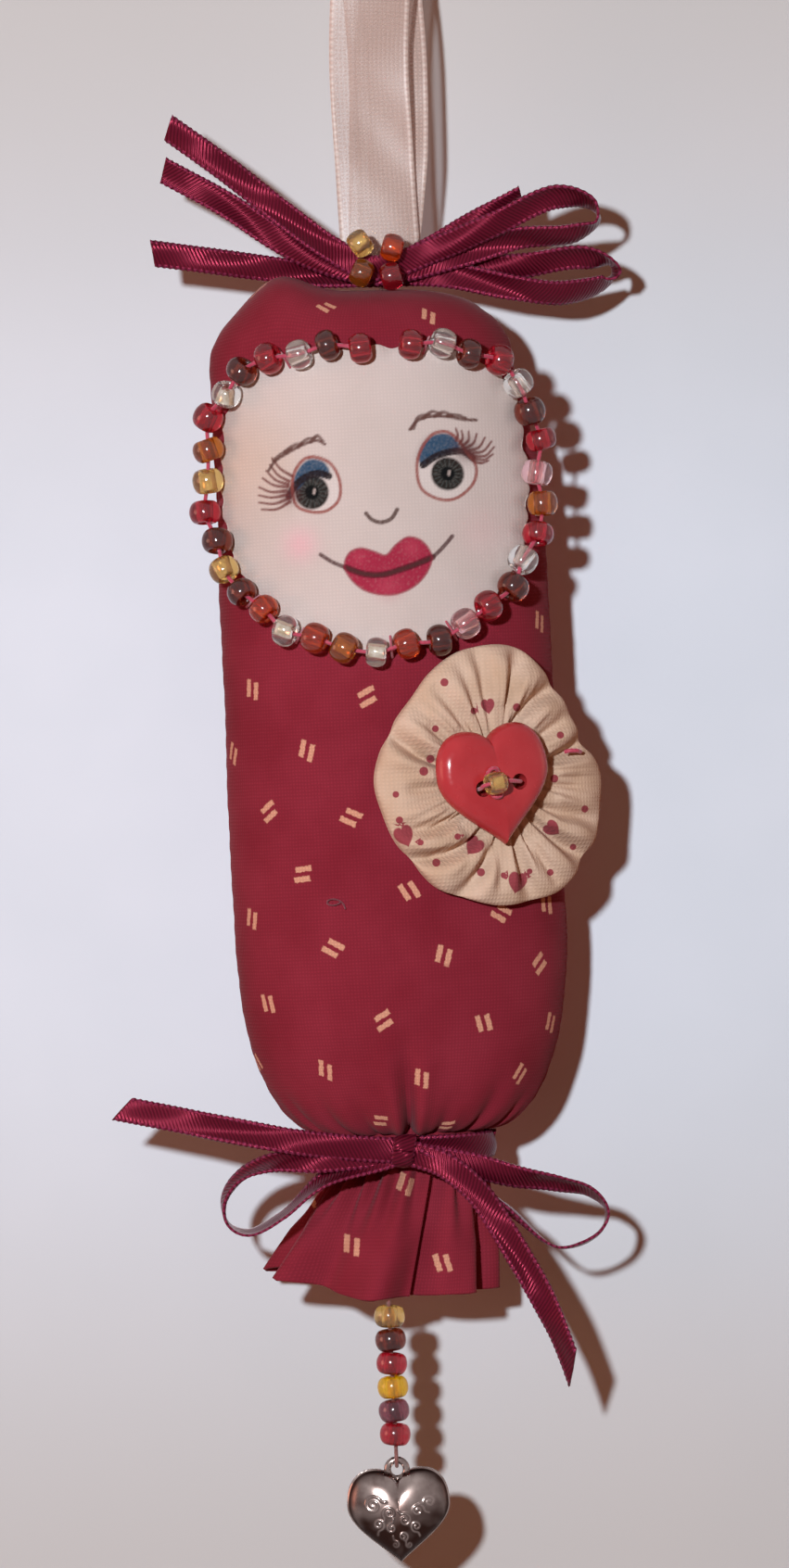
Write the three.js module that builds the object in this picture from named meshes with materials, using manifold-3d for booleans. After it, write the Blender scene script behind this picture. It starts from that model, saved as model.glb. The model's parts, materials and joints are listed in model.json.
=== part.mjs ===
// A dotee doll: a stuffed cloth doll without limbs that hangs from a ribbon loop, with a beaded face,
// bows of satin ribbon, a gathered cloth rosette with a button, and a strand of beads with a charm.
// Millimetres, +Z up. The face looks along -Y, and the origin is the top of the hanging loop.
import * as THREE from 'three';
import { mergeVertices } from 'three/addons/utils/BufferGeometryUtils.js';
import Module from 'manifold-3d';

const wasm = await Module();
wasm.setup();

// Clearances and cloth
const gap = 0.3;
const cotton = 0.7;
const muslin = 0.6;

// Stuffed body, from the crown down to the neck where the ribbon ties it off
const bodyX = -1.9;
const crownZ = -47;
const crownHeight = 10.1;
const crownRoundness = 2.7;
const shoulderHalfWidth = 20.6;
const bellyHalfWidth = 21.1;
const bodyHalfDepth = 13;
const bodyLength = 106.5;
const baseHeight = 25;
const baseRoundness = 2.2;
const neckHalfWidth = 9.4;
const neckHalfDepth = 5.5;
const neckLength = 2;
const gatherCount = 14;
const gatherDepth = 0.6;
const gatherReach = 16;

// Ruffle of cloth below the tie
const ruffleLength = 18.4;
const hemHalfWidth = 13.4;
const hemHalfDepth = 8.2;
const hemLean = -4.4;
const hemRise = 4;
const fluteCount = 7;
const fluteDepth = 2;
const fluteCrest = -98;
const flareRoundness = 0.8;

// Face patch and the beads along its edge
const faceX = -2.4;
const faceZ = -73.9;
const faceHalfWidth = 19.2;
const faceHalfHeight = 18.9;
const faceTopRoundness = 3.6;
const faceBottomRoundness = 2;
const faceBeads = 34;
const faceBeadGap = 6.3;
const faceBeadGapAngle = 84;
const faceBeadWobble = 0.4;
const faceBeadWobbleStep = 2.4;

// Glass beads and sewing thread
const beadRadius = 1.95;
const beadLength = 2.7;
const beadBore = 0.7;
const crownBeadRadius = 1.75;
const crownBeadLength = 2.6;
const threadRadius = 0.25;

// Satin ribbon, and the crown where the hair ribbons are sewn
const satinWidth = 3.2;
const satinThickness = 0.4;
const satinLayer = 0.8;
const crownBackLayer = -0.9;
const crownTopLayer = 4;
const knotHalfWidth = 2.6;
const knotHalfHeight = 1.7;
const knotAside = 0.9;
const knotProud = 1.6;

// Hanging loop of organza ribbon
const organzaWidth = 9.5;
const organzaThickness = 0.4;
const loopGap = 5.6;
const hangerTipWidth = 1.2;
const hangerNeckWidth = 5;
const hangerNeckHeight = 2.2;
const hangerFlareHeight = 6;
const hangerBackTaper = 0.5;

// Rosette gathered from a round of calico, and the heart button on it
const rosetteX = 10;
const rosetteZ = -109.2;
const rosetteRadius = 15.9;
const rosetteRim = 1.3;
const rosettePuff = 3.1;
const rosettePleats = 12;
const rosettePleatDepth = 0.35;
const rosetteBend = 1 / 120;
const buttonWidth = 15;
const buttonHeight = 14.8;
const buttonNotch = 1.6;
const buttonThickness = 3.2;
const buttonEdge = 0.7;
const buttonTurn = 8;
const buttonAcross = -1.4;
const buttonUp = -1.1;
const buttonHoleRadius = 1;
const buttonHoleSpacing = 5;
const buttonBeadRadius = 1.4;
const buttonBeadLength = 2.4;
const buttonBeadAcross = -1.5;
const buttonBeadUp = 0.5;

// Strand of beads below the hem, and the heart charm
const strandAngle = -87;
const strandBeads = 6;
const strandPitch = 2.96;
const strandDrop = 0.6;
const charmWidth = 12.9;
const charmHeight = 11.9;
const charmNotch = 1.4;
const charmRim = 0.4;
const charmPuff = 2.5;
const charmLoopRadius = 1.18;
const charmLoopWire = 0.45;
const charmRun = 0.1;

// Facets round each kind of piece, and steps along it
const fillingSides = 24;
const faceSides = 36;
const beadSides = 8;
const threadSides = 5;
const wrapSides = 32;
const hairSteps = 3;
const tieSteps = 2;
const heartSteps = 7;

// Heights and places that follow from those sizes
const radians = THREE.MathUtils.degToRad;
const shoulderZ = crownZ - crownHeight;
const bellyZ = crownZ - bodyLength + baseHeight;
const neckZ = crownZ - bodyLength;
const tieZ = neckZ - neckLength;
const hemZ = tieZ - ruffleLength;

// Meshes

function closedGeometry(positions, faces) {
  const geometry = new THREE.BufferGeometry();
  const numbers = positions.flatMap((p) => p.toArray());
  geometry.setAttribute('position', new THREE.Float32BufferAttribute(numbers, 3));
  geometry.setIndex(faces.flat());
  const merged = mergeVertices(geometry, 1e-5);
  const index = Array.from(merged.getIndex().array);
  const kept = [];
  for (let i = 0; i < index.length; i += 3) {
    const [a, b, c] = index.slice(i, i + 3);
    if (a !== b && b !== c && c !== a) kept.push(a, b, c);
  }
  merged.setIndex(kept);
  return merged;
}

// A solid through rings of points. Ends are closed by fans, or the rings run round in a circle.
function loft(rings, roundAndRound = false) {
  const count = rings[0].length;
  const positions = rings.flat();
  const faces = [];
  const bands = roundAndRound ? rings.length : rings.length - 1;
  for (let r = 0; r < bands; r++) {
    const next = (r + 1) % rings.length;
    for (let i = 0; i < count; i++) {
      const j = (i + 1) % count;
      const [a, b, c, d] = [r * count + i, r * count + j, next * count + j, next * count + i];
      faces.push([a, b, c], [a, c, d]);
    }
  }
  if (!roundAndRound) {
    for (const end of [0, rings.length - 1]) {
      const centre = new THREE.Vector3();
      rings[end].forEach((p) => centre.addScaledVector(p, 1 / count));
      positions.push(centre);
      for (let i = 0; i < count; i++) {
        const [a, b] = [end * count + i, end * count + ((i + 1) % count)];
        faces.push(end === 0 ? [positions.length - 1, b, a] : [positions.length - 1, a, b]);
      }
    }
  }
  return closedGeometry(positions, faces);
}

// A sheet with thickness: two grids of rows, joined along their four edges.
function sheet(outer, inner) {
  const rings = outer.map((row, r) => [...row, ...inner[r].slice().reverse()]);
  const count = rings[0].length;
  const half = count / 2;
  const faces = [];
  for (let r = 0; r < rings.length - 1; r++) {
    for (let i = 0; i < count; i++) {
      const j = (i + 1) % count;
      const [a, b, c, d] = [r * count + i, r * count + j, (r + 1) * count + j, (r + 1) * count + i];
      faces.push([a, b, c], [a, c, d]);
    }
  }
  for (const end of [0, rings.length - 1]) {
    for (let i = 0; i < half - 1; i++) {
      const [a, b] = [end * count + i, end * count + i + 1];
      const [c, d] = [end * count + count - 2 - i, end * count + count - 1 - i];
      if (end === 0) faces.push([b, a, d], [b, d, c]);
      else faces.push([a, b, c], [a, c, d]);
    }
  }
  return closedGeometry(rings.flat(), faces);
}

function facingOut(geometry) {
  const position = geometry.getAttribute('position');
  const index = Array.from(geometry.getIndex().array);
  let volume = 0;
  const [a, b, c] = [new THREE.Vector3(), new THREE.Vector3(), new THREE.Vector3()];
  for (let i = 0; i < index.length; i += 3) {
    a.fromBufferAttribute(position, index[i]);
    b.fromBufferAttribute(position, index[i + 1]);
    c.fromBufferAttribute(position, index[i + 2]);
    volume += a.dot(b.cross(c));
  }
  if (volume < 0) geometry.setIndex(index.reverse());
  return geometry;
}

function solidOf(geometry) {
  const bare = geometry.clone();
  bare.deleteAttribute('normal');
  bare.deleteAttribute('uv');
  const merged = facingOut(mergeVertices(bare, 1e-5));
  return new wasm.Manifold(new wasm.Mesh({
    numProp: 3,
    vertProperties: new Float32Array(merged.getAttribute('position').array),
    triVerts: new Uint32Array(merged.getIndex().array),
  }));
}

function geometryOf(solid) {
  const mesh = solid.getMesh();
  const geometry = new THREE.BufferGeometry();
  geometry.setAttribute('position', new THREE.Float32BufferAttribute(mesh.vertProperties, 3));
  geometry.setIndex(Array.from(mesh.triVerts));
  return geometry;
}

function joined(geometries) {
  const [first, ...rest] = geometries.map(solidOf);
  return geometryOf(rest.reduce((whole, next) => whole.add(next), first));
}

const point = (x, y, z) => new THREE.Vector3(x, y, z);
const counted = (count) => Array.from({ length: count }, (_, i) => i);
const spread = (count, from, to) => counted(count).map((i) => from + ((to - from) * i) / (count - 1));
const around = (count) => counted(count).map((i) => (2 * Math.PI * i) / count);

// Colours and finish
function finish(color, roughness, metalness = 0) {
  return new THREE.MeshStandardMaterial({ color, roughness, metalness });
}

const printedCotton = finish(0x8e2438, 0.9);
const plainMuslin = finish(0xdcc7bc, 0.95);
const fibrefill = finish(0xf0eeea, 1);
const burgundySatin = finish(0x7a1c38, 0.4);
const sheerOrganza = finish(0xe5d5cf, 0.5);
const heartCalico = finish(0xd9be97, 0.9);
const redPlastic = finish(0xc8343a, 0.25);
const antiqueSilver = finish(0x9a968e, 0.35, 1);
const pinkThread = finish(0xb5405a, 0.7);
const glass = {
  red: finish(0xb5203a, 0.15),
  clear: finish(0xd8c8b8, 0.15),
  brown: finish(0x4a1e14, 0.15),
  amber: finish(0xc78a2e, 0.15),
  orange: finish(0xd2501e, 0.15),
  yellow: finish(0xe0b810, 0.15),
  plum: finish(0x7a4a50, 0.15),
};

const doll = new THREE.Group();

function add(name, geometry, material, parent = doll) {
  const mesh = new THREE.Mesh(facingOut(geometry), material);
  mesh.name = name;
  parent.add(mesh);
  return mesh;
}

// Stuffed body

// Half width and half depth of the outside at a height.
function girthAt(z) {
  if (z > shoulderZ) {
    const share = (1 - ((z - shoulderZ) / crownHeight) ** crownRoundness) ** (1 / crownRoundness);
    return { width: shoulderHalfWidth * share, depth: bodyHalfDepth * share };
  }
  if (z > bellyZ) {
    const width = THREE.MathUtils.mapLinear(z, shoulderZ, bellyZ, shoulderHalfWidth, bellyHalfWidth);
    return { width, depth: bodyHalfDepth };
  }
  const share = (1 - ((bellyZ - z) / baseHeight) ** baseRoundness) ** (1 / baseRoundness);
  return {
    width: neckHalfWidth + (bellyHalfWidth - neckHalfWidth) * share,
    depth: neckHalfDepth + (bodyHalfDepth - neckHalfDepth) * share,
  };
}

// Rows of half width, half depth and height, set in from the outside.
function bodyRows(inset, crownSteps, sideSteps, baseSteps) {
  const rows = [];
  for (const turn of spread(crownSteps, 0, Math.PI / 2)) {
    const share = Math.sin(turn) ** (2 / crownRoundness);
    rows.push({
      width: (shoulderHalfWidth - inset) * share,
      depth: (bodyHalfDepth - inset) * share,
      z: shoulderZ + (crownHeight - inset) * Math.cos(turn) ** (2 / crownRoundness),
    });
  }
  for (const z of spread(sideSteps, shoulderZ, bellyZ).slice(1)) {
    const { width, depth } = girthAt(z + 1e-9);
    rows.push({ width: width - inset, depth: depth - inset, z });
  }
  for (const turn of spread(baseSteps, 0, Math.PI / 2).slice(1)) {
    const share = Math.max(Math.cos(turn), 0) ** (2 / baseRoundness);
    rows.push({
      width: neckHalfWidth - inset + (bellyHalfWidth - neckHalfWidth) * share,
      depth: neckHalfDepth - inset + (bodyHalfDepth - neckHalfDepth) * share,
      z: bellyZ - (baseHeight - inset) * Math.sin(turn) ** (2 / baseRoundness),
    });
  }
  const last = rows[rows.length - 1];
  rows.push({ width: last.width, depth: last.depth, z: tieZ + gap / 2 });
  return rows;
}

function gatherAt(z) {
  return gatherDepth * THREE.MathUtils.clamp((neckZ + gatherReach - z) / gatherReach, 0, 1) ** 2;
}

function bodyPoint(row, angle, gather) {
  return point(
    bodyX + (row.width + gather) * Math.cos(angle),
    (row.depth + gather) * Math.sin(angle),
    row.z,
  );
}

function bodyPanel(side) {
  const angles = spread(2 * gatherCount + 1, 0, side * Math.PI);
  const grid = (inset) => bodyRows(inset, 6, 5, 8).map((row) => angles.map((angle) => {
    const gather = row.z < bellyZ ? gatherAt(row.z) * Math.cos(gatherCount * angle) : 0;
    const p = bodyPoint(row, angle, gather);
    p.y = side * Math.max(side * p.y, gap / 2);
    return p;
  }));
  return sheet(grid(0), grid(cotton));
}

function fibreFilling() {
  const rows = bodyRows(cotton + gap, 5, 3, 7).slice(1);
  const ring = (row) => around(fillingSides).map((angle) => bodyPoint(row, angle, -gatherAt(row.z)));
  return loft(rows.map(ring));
}

add('body_front_panel', bodyPanel(-1), printedCotton);
add('body_back_panel', bodyPanel(1), printedCotton);
add('fibre_filling', fibreFilling(), fibrefill);

// Ruffle below the tie

const ruffleTopZ = tieZ - gap / 2;
const wrapBottomZ = tieZ - satinWidth / 2 - gap;

function rufflePoint(drop, angle, inset) {
  const level = THREE.MathUtils.mapLinear(drop, 0, 1, wrapBottomZ, hemZ);
  const grow = Math.max(drop, 0);
  const flute = fluteDepth * grow * Math.cos(fluteCount * (angle - radians(fluteCrest)));
  const flare = grow ** flareRoundness;
  const width = THREE.MathUtils.lerp(neckHalfWidth, hemHalfWidth, flare) - inset + flute;
  const depth = THREE.MathUtils.lerp(neckHalfDepth, hemHalfDepth, flare) - inset + flute;
  return point(
    bodyX + hemLean * grow + width * Math.cos(angle),
    depth * Math.sin(angle),
    level + hemRise * grow * Math.max(-Math.cos(angle), 0) ** 2,
  );
}

function tailRuffle() {
  const angles = around(8 * fluteCount);
  const top = (ruffleTopZ - wrapBottomZ) / (hemZ - wrapBottomZ);
  const drops = [top, 0, 0.15, 0.35, 0.6, 0.8, 1];
  const wall = (inset) => drops.map((drop) => angles.map((angle) => rufflePoint(drop, angle, inset)));
  return loft([...wall(0), ...wall(cotton).reverse()], true);
}

add('tail_ruffle', tailRuffle(), printedCotton);

// Face patch, on the front of the body

// A point at a distance outside the body's front, over a place seen from the front.
function frontPoint(x, z, distance) {
  const { width, depth } = girthAt(z);
  const across = (x - bodyX) / (width + distance);
  return point(x, -(depth + distance) * Math.sqrt(Math.max(1 - across ** 2, 0)), z);
}

function frontNormal(p) {
  const { width, depth } = girthAt(p.z);
  return point((p.x - bodyX) / width ** 2, p.y / depth ** 2, 0).normalize();
}

// How far the face reaches from its middle at an angle. It is round below and squarer above.
function faceReach(angle, outward) {
  const roundness = Math.sin(angle) > 0 ? faceTopRoundness : faceBottomRoundness;
  const across = Math.abs(Math.cos(angle)) / (faceHalfWidth + outward);
  const up = Math.abs(Math.sin(angle)) / (faceHalfHeight + outward);
  return (across ** roundness + up ** roundness) ** (-1 / roundness);
}

// A point over the front, at a share of the way from the middle of the face to its edge.
function facePoint(angle, share, outward, distance) {
  const reach = share * faceReach(angle, outward);
  return frontPoint(faceX + reach * Math.cos(angle), faceZ + reach * Math.sin(angle), distance);
}

function facePatch() {
  const angles = around(faceSides);
  const shares = [0.25, 0.5, 0.7, 0.85, 0.94, 1];
  const layer = (distance) => shares.map((share) => angles.map((angle) => facePoint(angle, share, 0, distance)));
  return loft([...layer(gap + muslin), ...layer(gap).reverse()]);
}

add('face_patch', facePatch(), plainMuslin);

// Glass beads

function beadGeometry(radius, length) {
  const profile = [
    [beadBore, -0.4 * length],
    [0.6 * radius, -0.5 * length],
    [radius, -0.2 * length],
    [radius, 0.2 * length],
    [0.6 * radius, 0.5 * length],
    [beadBore, 0.4 * length],
    [beadBore, -0.4 * length],
  ];
  const outline = profile.map(([r, h]) => new THREE.Vector2(r, h));
  const geometry = new THREE.LatheGeometry(outline, beadSides);
  geometry.deleteAttribute('normal');
  geometry.deleteAttribute('uv');
  return mergeVertices(geometry, 1e-5);
}

const upright = point(0, 1, 0);
const sideways = point(1, 0, 0);

function addBead(name, centre, axis, colour, radius = beadRadius, length = beadLength, parent = doll) {
  const bead = add(name, beadGeometry(radius, length), glass[colour], parent);
  bead.position.copy(centre);
  bead.quaternion.setFromUnitVectors(upright, axis);
}

const toFront = point(0, -1, 0);

// The part of the frontward direction that is square to a direction.
const frontSquareTo = (along) => toFront.clone().addScaledVector(along, -toFront.dot(along)).normalize();

// A round thread along a closed curve.
function threadRing(curve, steps, sides) {
  const rings = spread(steps + 1, 0, 1).slice(0, -1).map((u) => {
    const along = curve.getTangent(u);
    const front = frontSquareTo(along);
    const aside = new THREE.Vector3().crossVectors(along, front);
    return around(sides).map((angle) => curve.getPoint(u)
      .addScaledVector(front, threadRadius * Math.cos(angle))
      .addScaledVector(aside, threadRadius * Math.sin(angle)));
  });
  return loft(rings, true);
}

// Beads sewn along the edge of the face, clockwise from the wider gap at the top

function faceEdgePoint(angle, outward) {
  const onPatch = facePoint(angle, 1, outward, gap + muslin);
  return onPatch.addScaledVector(frontNormal(onPatch), gap + beadRadius);
}

function faceBeadCentres() {
  const samples = 720;
  const turns = spread(samples + 1, radians(faceBeadGapAngle), radians(faceBeadGapAngle) - 2 * Math.PI);
  const lengths = [0];
  for (let i = 1; i <= samples; i++) {
    lengths.push(lengths[i - 1] + faceEdgePoint(turns[i], 0).distanceTo(faceEdgePoint(turns[i - 1], 0)));
  }
  const whole = lengths[samples];
  return spread(faceBeads, faceBeadGap / 2, whole - faceBeadGap / 2).map((along, i) => {
    const turn = turns[lengths.findIndex((length) => length >= along)];
    return faceEdgePoint(turn, faceBeadWobble * Math.sin(faceBeadWobbleStep * i));
  });
}

const faceBeadColours = [
  'red', 'clear', 'brown', 'red', 'clear', 'brown', 'red', 'clear', 'amber', 'red', 'clear', 'brown',
  'red', 'clear', 'brown', 'orange', 'clear', 'amber', 'orange', 'clear', 'orange', 'red', 'amber', 'brown',
  'red', 'amber', 'amber', 'red', 'amber', 'brown', 'red', 'clear', 'amber', 'red',
];
const faceCentres = faceBeadCentres();
const faceThread = new THREE.CatmullRomCurve3(faceCentres, true);
faceCentres.forEach((centre, i) => {
  const name = `face_bead_${String(i + 1).padStart(2, '0')}`;
  const colour = faceBeadColours[i % faceBeadColours.length];
  addBead(name, centre, faceThread.getTangent(i / faceBeads), colour);
});
add('face_bead_thread', threadRing(faceThread, 2 * faceBeads, threadSides), pinkThread);

// Ribbons. A route is a list of points with a turn: at 0 degrees the ribbon's face looks to the front, at
// 90 degrees it stands edge-on. A layer counts the ribbon's place in the stack at the crown.

function ribbonSolid(samples, thickness) {
  const rings = samples.map(({ centre, along, across, width }) => {
    const face = new THREE.Vector3().crossVectors(along, across).normalize();
    const side = new THREE.Vector3().crossVectors(face, along).normalize();
    const corner = (s, f) => centre.clone()
      .addScaledVector(side, (s * width) / 2)
      .addScaledVector(face, (f * thickness) / 2);
    return [corner(-1, -1), corner(1, -1), corner(1, 1), corner(-1, 1)];
  });
  return loft(rings);
}

function satinRibbon(route, stepsPerPoint) {
  const curve = new THREE.CatmullRomCurve3(route.map(([x, y, z]) => point(x, y, z)), false, 'centripetal');
  const steps = stepsPerPoint * (route.length - 1);
  const widthways = route.map((place, i) => {
    const along = curve.getTangent(i / (route.length - 1));
    const across = new THREE.Vector3().crossVectors(along, frontSquareTo(along));
    return across.applyAxisAngle(along, radians(place[3]));
  });
  const samples = spread(steps + 1, 0, 1).map((u) => {
    const place = u * (route.length - 1);
    const before = Math.min(Math.floor(place), route.length - 2);
    const across = widthways[before].clone().lerp(widthways[before + 1], place - before);
    return { centre: curve.getPoint(u), along: curve.getTangent(u), across, width: satinWidth };
  });
  return ribbonSolid(samples, satinThickness);
}

const crownLayer = (layer) => crownBackLayer - layer * satinLayer;

// Hair ribbons: each runs from a tail on the left, over the crown, round a loop on the right and back.
const hairUpperRoute = [
  [-26.1, -6.5, -25.7, 10],
  [-19.2, -6.0, -31.1, 0],
  [-12.7, -5.2, -36.7, -5],
  [-6.5, crownLayer(crownTopLayer), -41.6, 0],
  [-1.2, crownLayer(crownTopLayer), -44.4, 0],
  [6.8, crownLayer(crownTopLayer), -42.4, 10],
  [14.3, -5.0, -39.7, 15],
  [22.2, -5.4, -36.6, 35],
  [26.3, -4.6, -37.4, 65],
  [27.4, -3.6, -39.8, 95],
  [24.3, -3.2, -41.2, 125],
  [17.3, -3.4, -41.4, 150],
  [9.5, crownLayer(3), -43.2, 172],
  [3.0, crownLayer(3), -44.6, 180],
  [-1.2, crownLayer(3), -44.9, 180],
  [-7.2, crownLayer(3), -43.2, 180],
  [-12.6, -2.9, -40.3, 180],
  [-19.4, -2.6, -35.3, 176],
  [-27.1, -2.6, -30.6, 172],
];
const hairLowerRoute = [
  [-28.9, -4.4, -41.2, 0],
  [-21.2, -3.6, -42.5, 4],
  [-14.2, -2.2, -43.7, 0],
  [-8.5, -1.3, -44.6, 0],
  [-1.2, crownLayer(0), -44.9, 0],
  [5.0, crownLayer(0), -45.0, 0],
  [9.4, crownLayer(0), -44.8, 8],
  [17.5, -1.4, -44.8, 15],
  [25.3, -1.2, -44.0, 35],
  [29.3, 0.2, -45.2, 75],
  [28.4, 1.4, -47.0, 110],
  [22.8, -0.8, -48.4, 150],
  [16.6, -2.4, -47.6, 165],
  [9.0, -2.1, -45.7, 172],
  [3.0, crownLayer(1), -45.0, 180],
  [-2.6, crownLayer(1), -44.9, 180],
  [-2.6, crownLayer(2), -44.7, 0],
  [3.0, crownLayer(2), -43.6, 0],
  [10.4, crownLayer(2), -40.0, 6],
  [17.9, -3.2, -36.2, 45],
];
add('hair_ribbon_upper', satinRibbon(hairUpperRoute, hairSteps), burgundySatin);
add('hair_ribbon_lower', satinRibbon(hairLowerRoute, hairSteps), burgundySatin);

// Beads sewn over the ribbons at the crown
const crownBeadY = crownLayer(crownTopLayer) - satinThickness / 2 - gap - crownBeadRadius;
const crownBeadPlaces = [
  [-2.7, -41.4, 'amber'],
  [1.3, -42.1, 'orange'],
  [-2.7, -45.1, 'amber'],
  [1.0, -45.7, 'red'],
];
crownBeadPlaces.forEach(([x, z, colour], i) => {
  const centre = point(x, crownBeadY, z);
  addBead(`crown_bead_${i + 1}`, centre, sideways, colour, crownBeadRadius, crownBeadLength);
});

// Hanging loop: one ribbon from the crown up over the hook and back, pinched where it is sewn in
function hangingRibbon() {
  const half = (loopGap + organzaThickness) / 2;
  const bend = half * Math.SQRT1_2;
  const tipZ = crownZ + gap;
  const hangerNeckZ = tipZ + hangerNeckHeight;
  const flareZ = tipZ + hangerFlareHeight;
  const route = [
    [0.2, 0.5, tipZ, hangerTipWidth],
    [0.1, 0.55, hangerNeckZ, hangerNeckWidth],
    [-0.2, 0.6, flareZ, organzaWidth],
    [-0.4, 0.1, -30, organzaWidth],
    [-0.5, -1.2, -18, organzaWidth],
    [0.2, -half, -8.5, organzaWidth],
    [0.8, -half, -half, organzaWidth],
    [0.9, -bend, bend - half, organzaWidth],
    [1, 0, 0, organzaWidth],
    [1.1, bend, bend - half, organzaWidth],
    [1.2, half, -half, organzaWidth],
    [1.6, half, -8.5, organzaWidth],
    [1.9, 2.6, -18, organzaWidth],
    [1.4, 2.0, -30, organzaWidth],
    [0.4, 1.5, flareZ, organzaWidth - hangerBackTaper],
    [0.2, 1.4, hangerNeckZ, hangerNeckWidth],
    [0.2, 1.35, tipZ, hangerTipWidth],
  ];
  const curve = new THREE.CatmullRomCurve3(route.map(([x, y, z]) => point(x, y, z)), false, 'centripetal');
  const steps = hairSteps * (route.length - 1);
  const samples = spread(steps + 1, 0, 1).map((u) => {
    const place = u * (route.length - 1);
    const before = Math.min(Math.floor(place), route.length - 2);
    const width = THREE.MathUtils.lerp(route[before][3], route[before + 1][3], place - before);
    return { centre: curve.getPoint(u), along: curve.getTangent(u), across: sideways, width };
  });
  return ribbonSolid(samples, organzaThickness);
}

add('hanging_ribbon', hangingRibbon(), sheerOrganza);

// Tie: a wrap round the neck, a knot in front, two loops and two tails
const wrapHalfWidth = neckHalfWidth + gatherDepth + gap;
const wrapHalfDepth = neckHalfDepth + gatherDepth + gap;
const knotX = bodyX - knotAside;
const knotY = -wrapHalfDepth - knotProud;

function tieWrap() {
  const wall = (extra, z) => around(wrapSides).map((angle) => point(
    bodyX + (wrapHalfWidth + extra) * Math.cos(angle),
    (wrapHalfDepth + extra) * Math.sin(angle),
    z,
  ));
  const [low, high] = [tieZ - satinWidth / 2, tieZ + satinWidth / 2];
  return loft([
    wall(0, low), wall(0, high), wall(satinThickness, high), wall(satinThickness, low),
  ], true);
}

function tieKnot() {
  const knot = new THREE.SphereGeometry(1, 12, 8);
  knot.scale(knotHalfWidth, knotHalfHeight, knotHalfHeight);
  knot.translate(knotX, knotY, tieZ);
  return knot;
}

// Places along the tie are measured from the knot: across, in front, up, and the turn.
const leftTailRoute = [
  [0, -0.6, 0, 0],
  [-6.4, -1.4, 0.7, 0],
  [-13.3, -1.4, 1.8, 5],
  [-21.4, -0.8, 3.6, 10],
  [-28.3, 0.2, 5.3, 5],
  [-35.1, 1.2, 6.9, 0],
];
const leftLoopRoute = [
  [0, -0.2, -0.2, 0],
  [-10.5, -1.2, -0.6, 20],
  [-17, -0.6, -0.8, 45],
  [-20.9, 0.2, -2.6, 75],
  [-22.8, 0.8, -5.4, 88],
  [-22.4, 1.0, -8.2, 92],
  [-20, 0.8, -9.4, 95],
  [-15.6, 0.2, -7.5, 100],
  [-9.8, -0.8, -3, 130],
  [-1.4, -0.4, -0.4, 160],
];
const rightLoopRoute = [
  [0, -0.1, -0.3, 0],
  [9, -1.0, -2.4, 15],
  [14, -0.8, -3.9, 25],
  [19.2, -0.4, -4.9, 50],
  [23.2, 0.4, -6.2, 75],
  [25.2, 0.8, -8.7, 88],
  [24.4, 1.0, -11.2, 92],
  [21.6, 0.8, -12.8, 93],
  [18.4, 0.4, -12.9, 95],
  [12.4, -0.6, -7.7, 105],
  [1.6, -0.4, -0.6, 130],
];
const rightTailRoute = [
  [0.6, -0.8, -0.2, 0],
  [5.1, -2.0, -2, 0],
  [8.9, -3.0, -5.4, -8],
  [11.2, -3.4, -9, -10],
  [13.5, -3.4, -13.2, 0],
  [15.9, -3.0, -17.8, 8],
  [18.1, -2.4, -23, 5],
  [19.8, -1.8, -28.2, 0],
];

function tieRibbon() {
  const fromKnot = ([x, y, z, turn]) => [knotX + x, knotY + y, tieZ + z, turn];
  const routes = [leftTailRoute, leftLoopRoute, rightLoopRoute, rightTailRoute];
  const strips = routes.map((route) => satinRibbon(route.map(fromKnot), tieSteps));
  return joined([tieWrap(), tieKnot(), ...strips]);
}

add('tie_ribbon', tieRibbon(), burgundySatin);

// Rosette and button, facing the way the body's side faces
const rosetteSeat = frontPoint(rosetteX, rosetteZ, 0);
const rosetteFace = frontNormal(rosetteSeat);
const applique = new THREE.Group();
applique.position.copy(rosetteSeat).addScaledVector(rosetteFace, gap);
applique.rotation.z = Math.atan2(rosetteFace.x, -rosetteFace.y);
doll.add(applique);

// The outline is uneven, as a hand-gathered round is.
function rosetteOutline(angle) {
  const broad = 0.03 * Math.sin(3 * angle + 1);
  const middling = 0.025 * Math.sin(5 * angle + 2);
  const fine = 0.015 * Math.sin(8 * angle);
  return rosetteRadius * (1 + broad + middling + fine);
}

function rosette() {
  const angles = around(4 * rosettePleats);
  const ring = (share, height, pleat) => angles.map((angle) => {
    const x = rosetteOutline(angle) * share * Math.cos(angle);
    const lift = height + pleat * rosettePleatDepth * Math.cos(rosettePleats * angle);
    return point(x, rosetteBend * x ** 2 - lift, rosetteOutline(angle) * share * Math.sin(angle));
  });
  return loft([
    ring(0.5, 0, 0),
    ring(0.9, 0.2 * rosetteRim, 0),
    ring(1, rosetteRim, 0.4),
    ring(0.95, 0.85 * rosettePuff, 0.8),
    ring(0.78, rosettePuff, 1),
    ring(0.5, 0.9 * rosettePuff, 0.8),
    ring(0.2, 0.85 * rosettePuff, 0.2),
  ]);
}

add('yo_yo', rosette(), heartCalico, applique);

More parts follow.
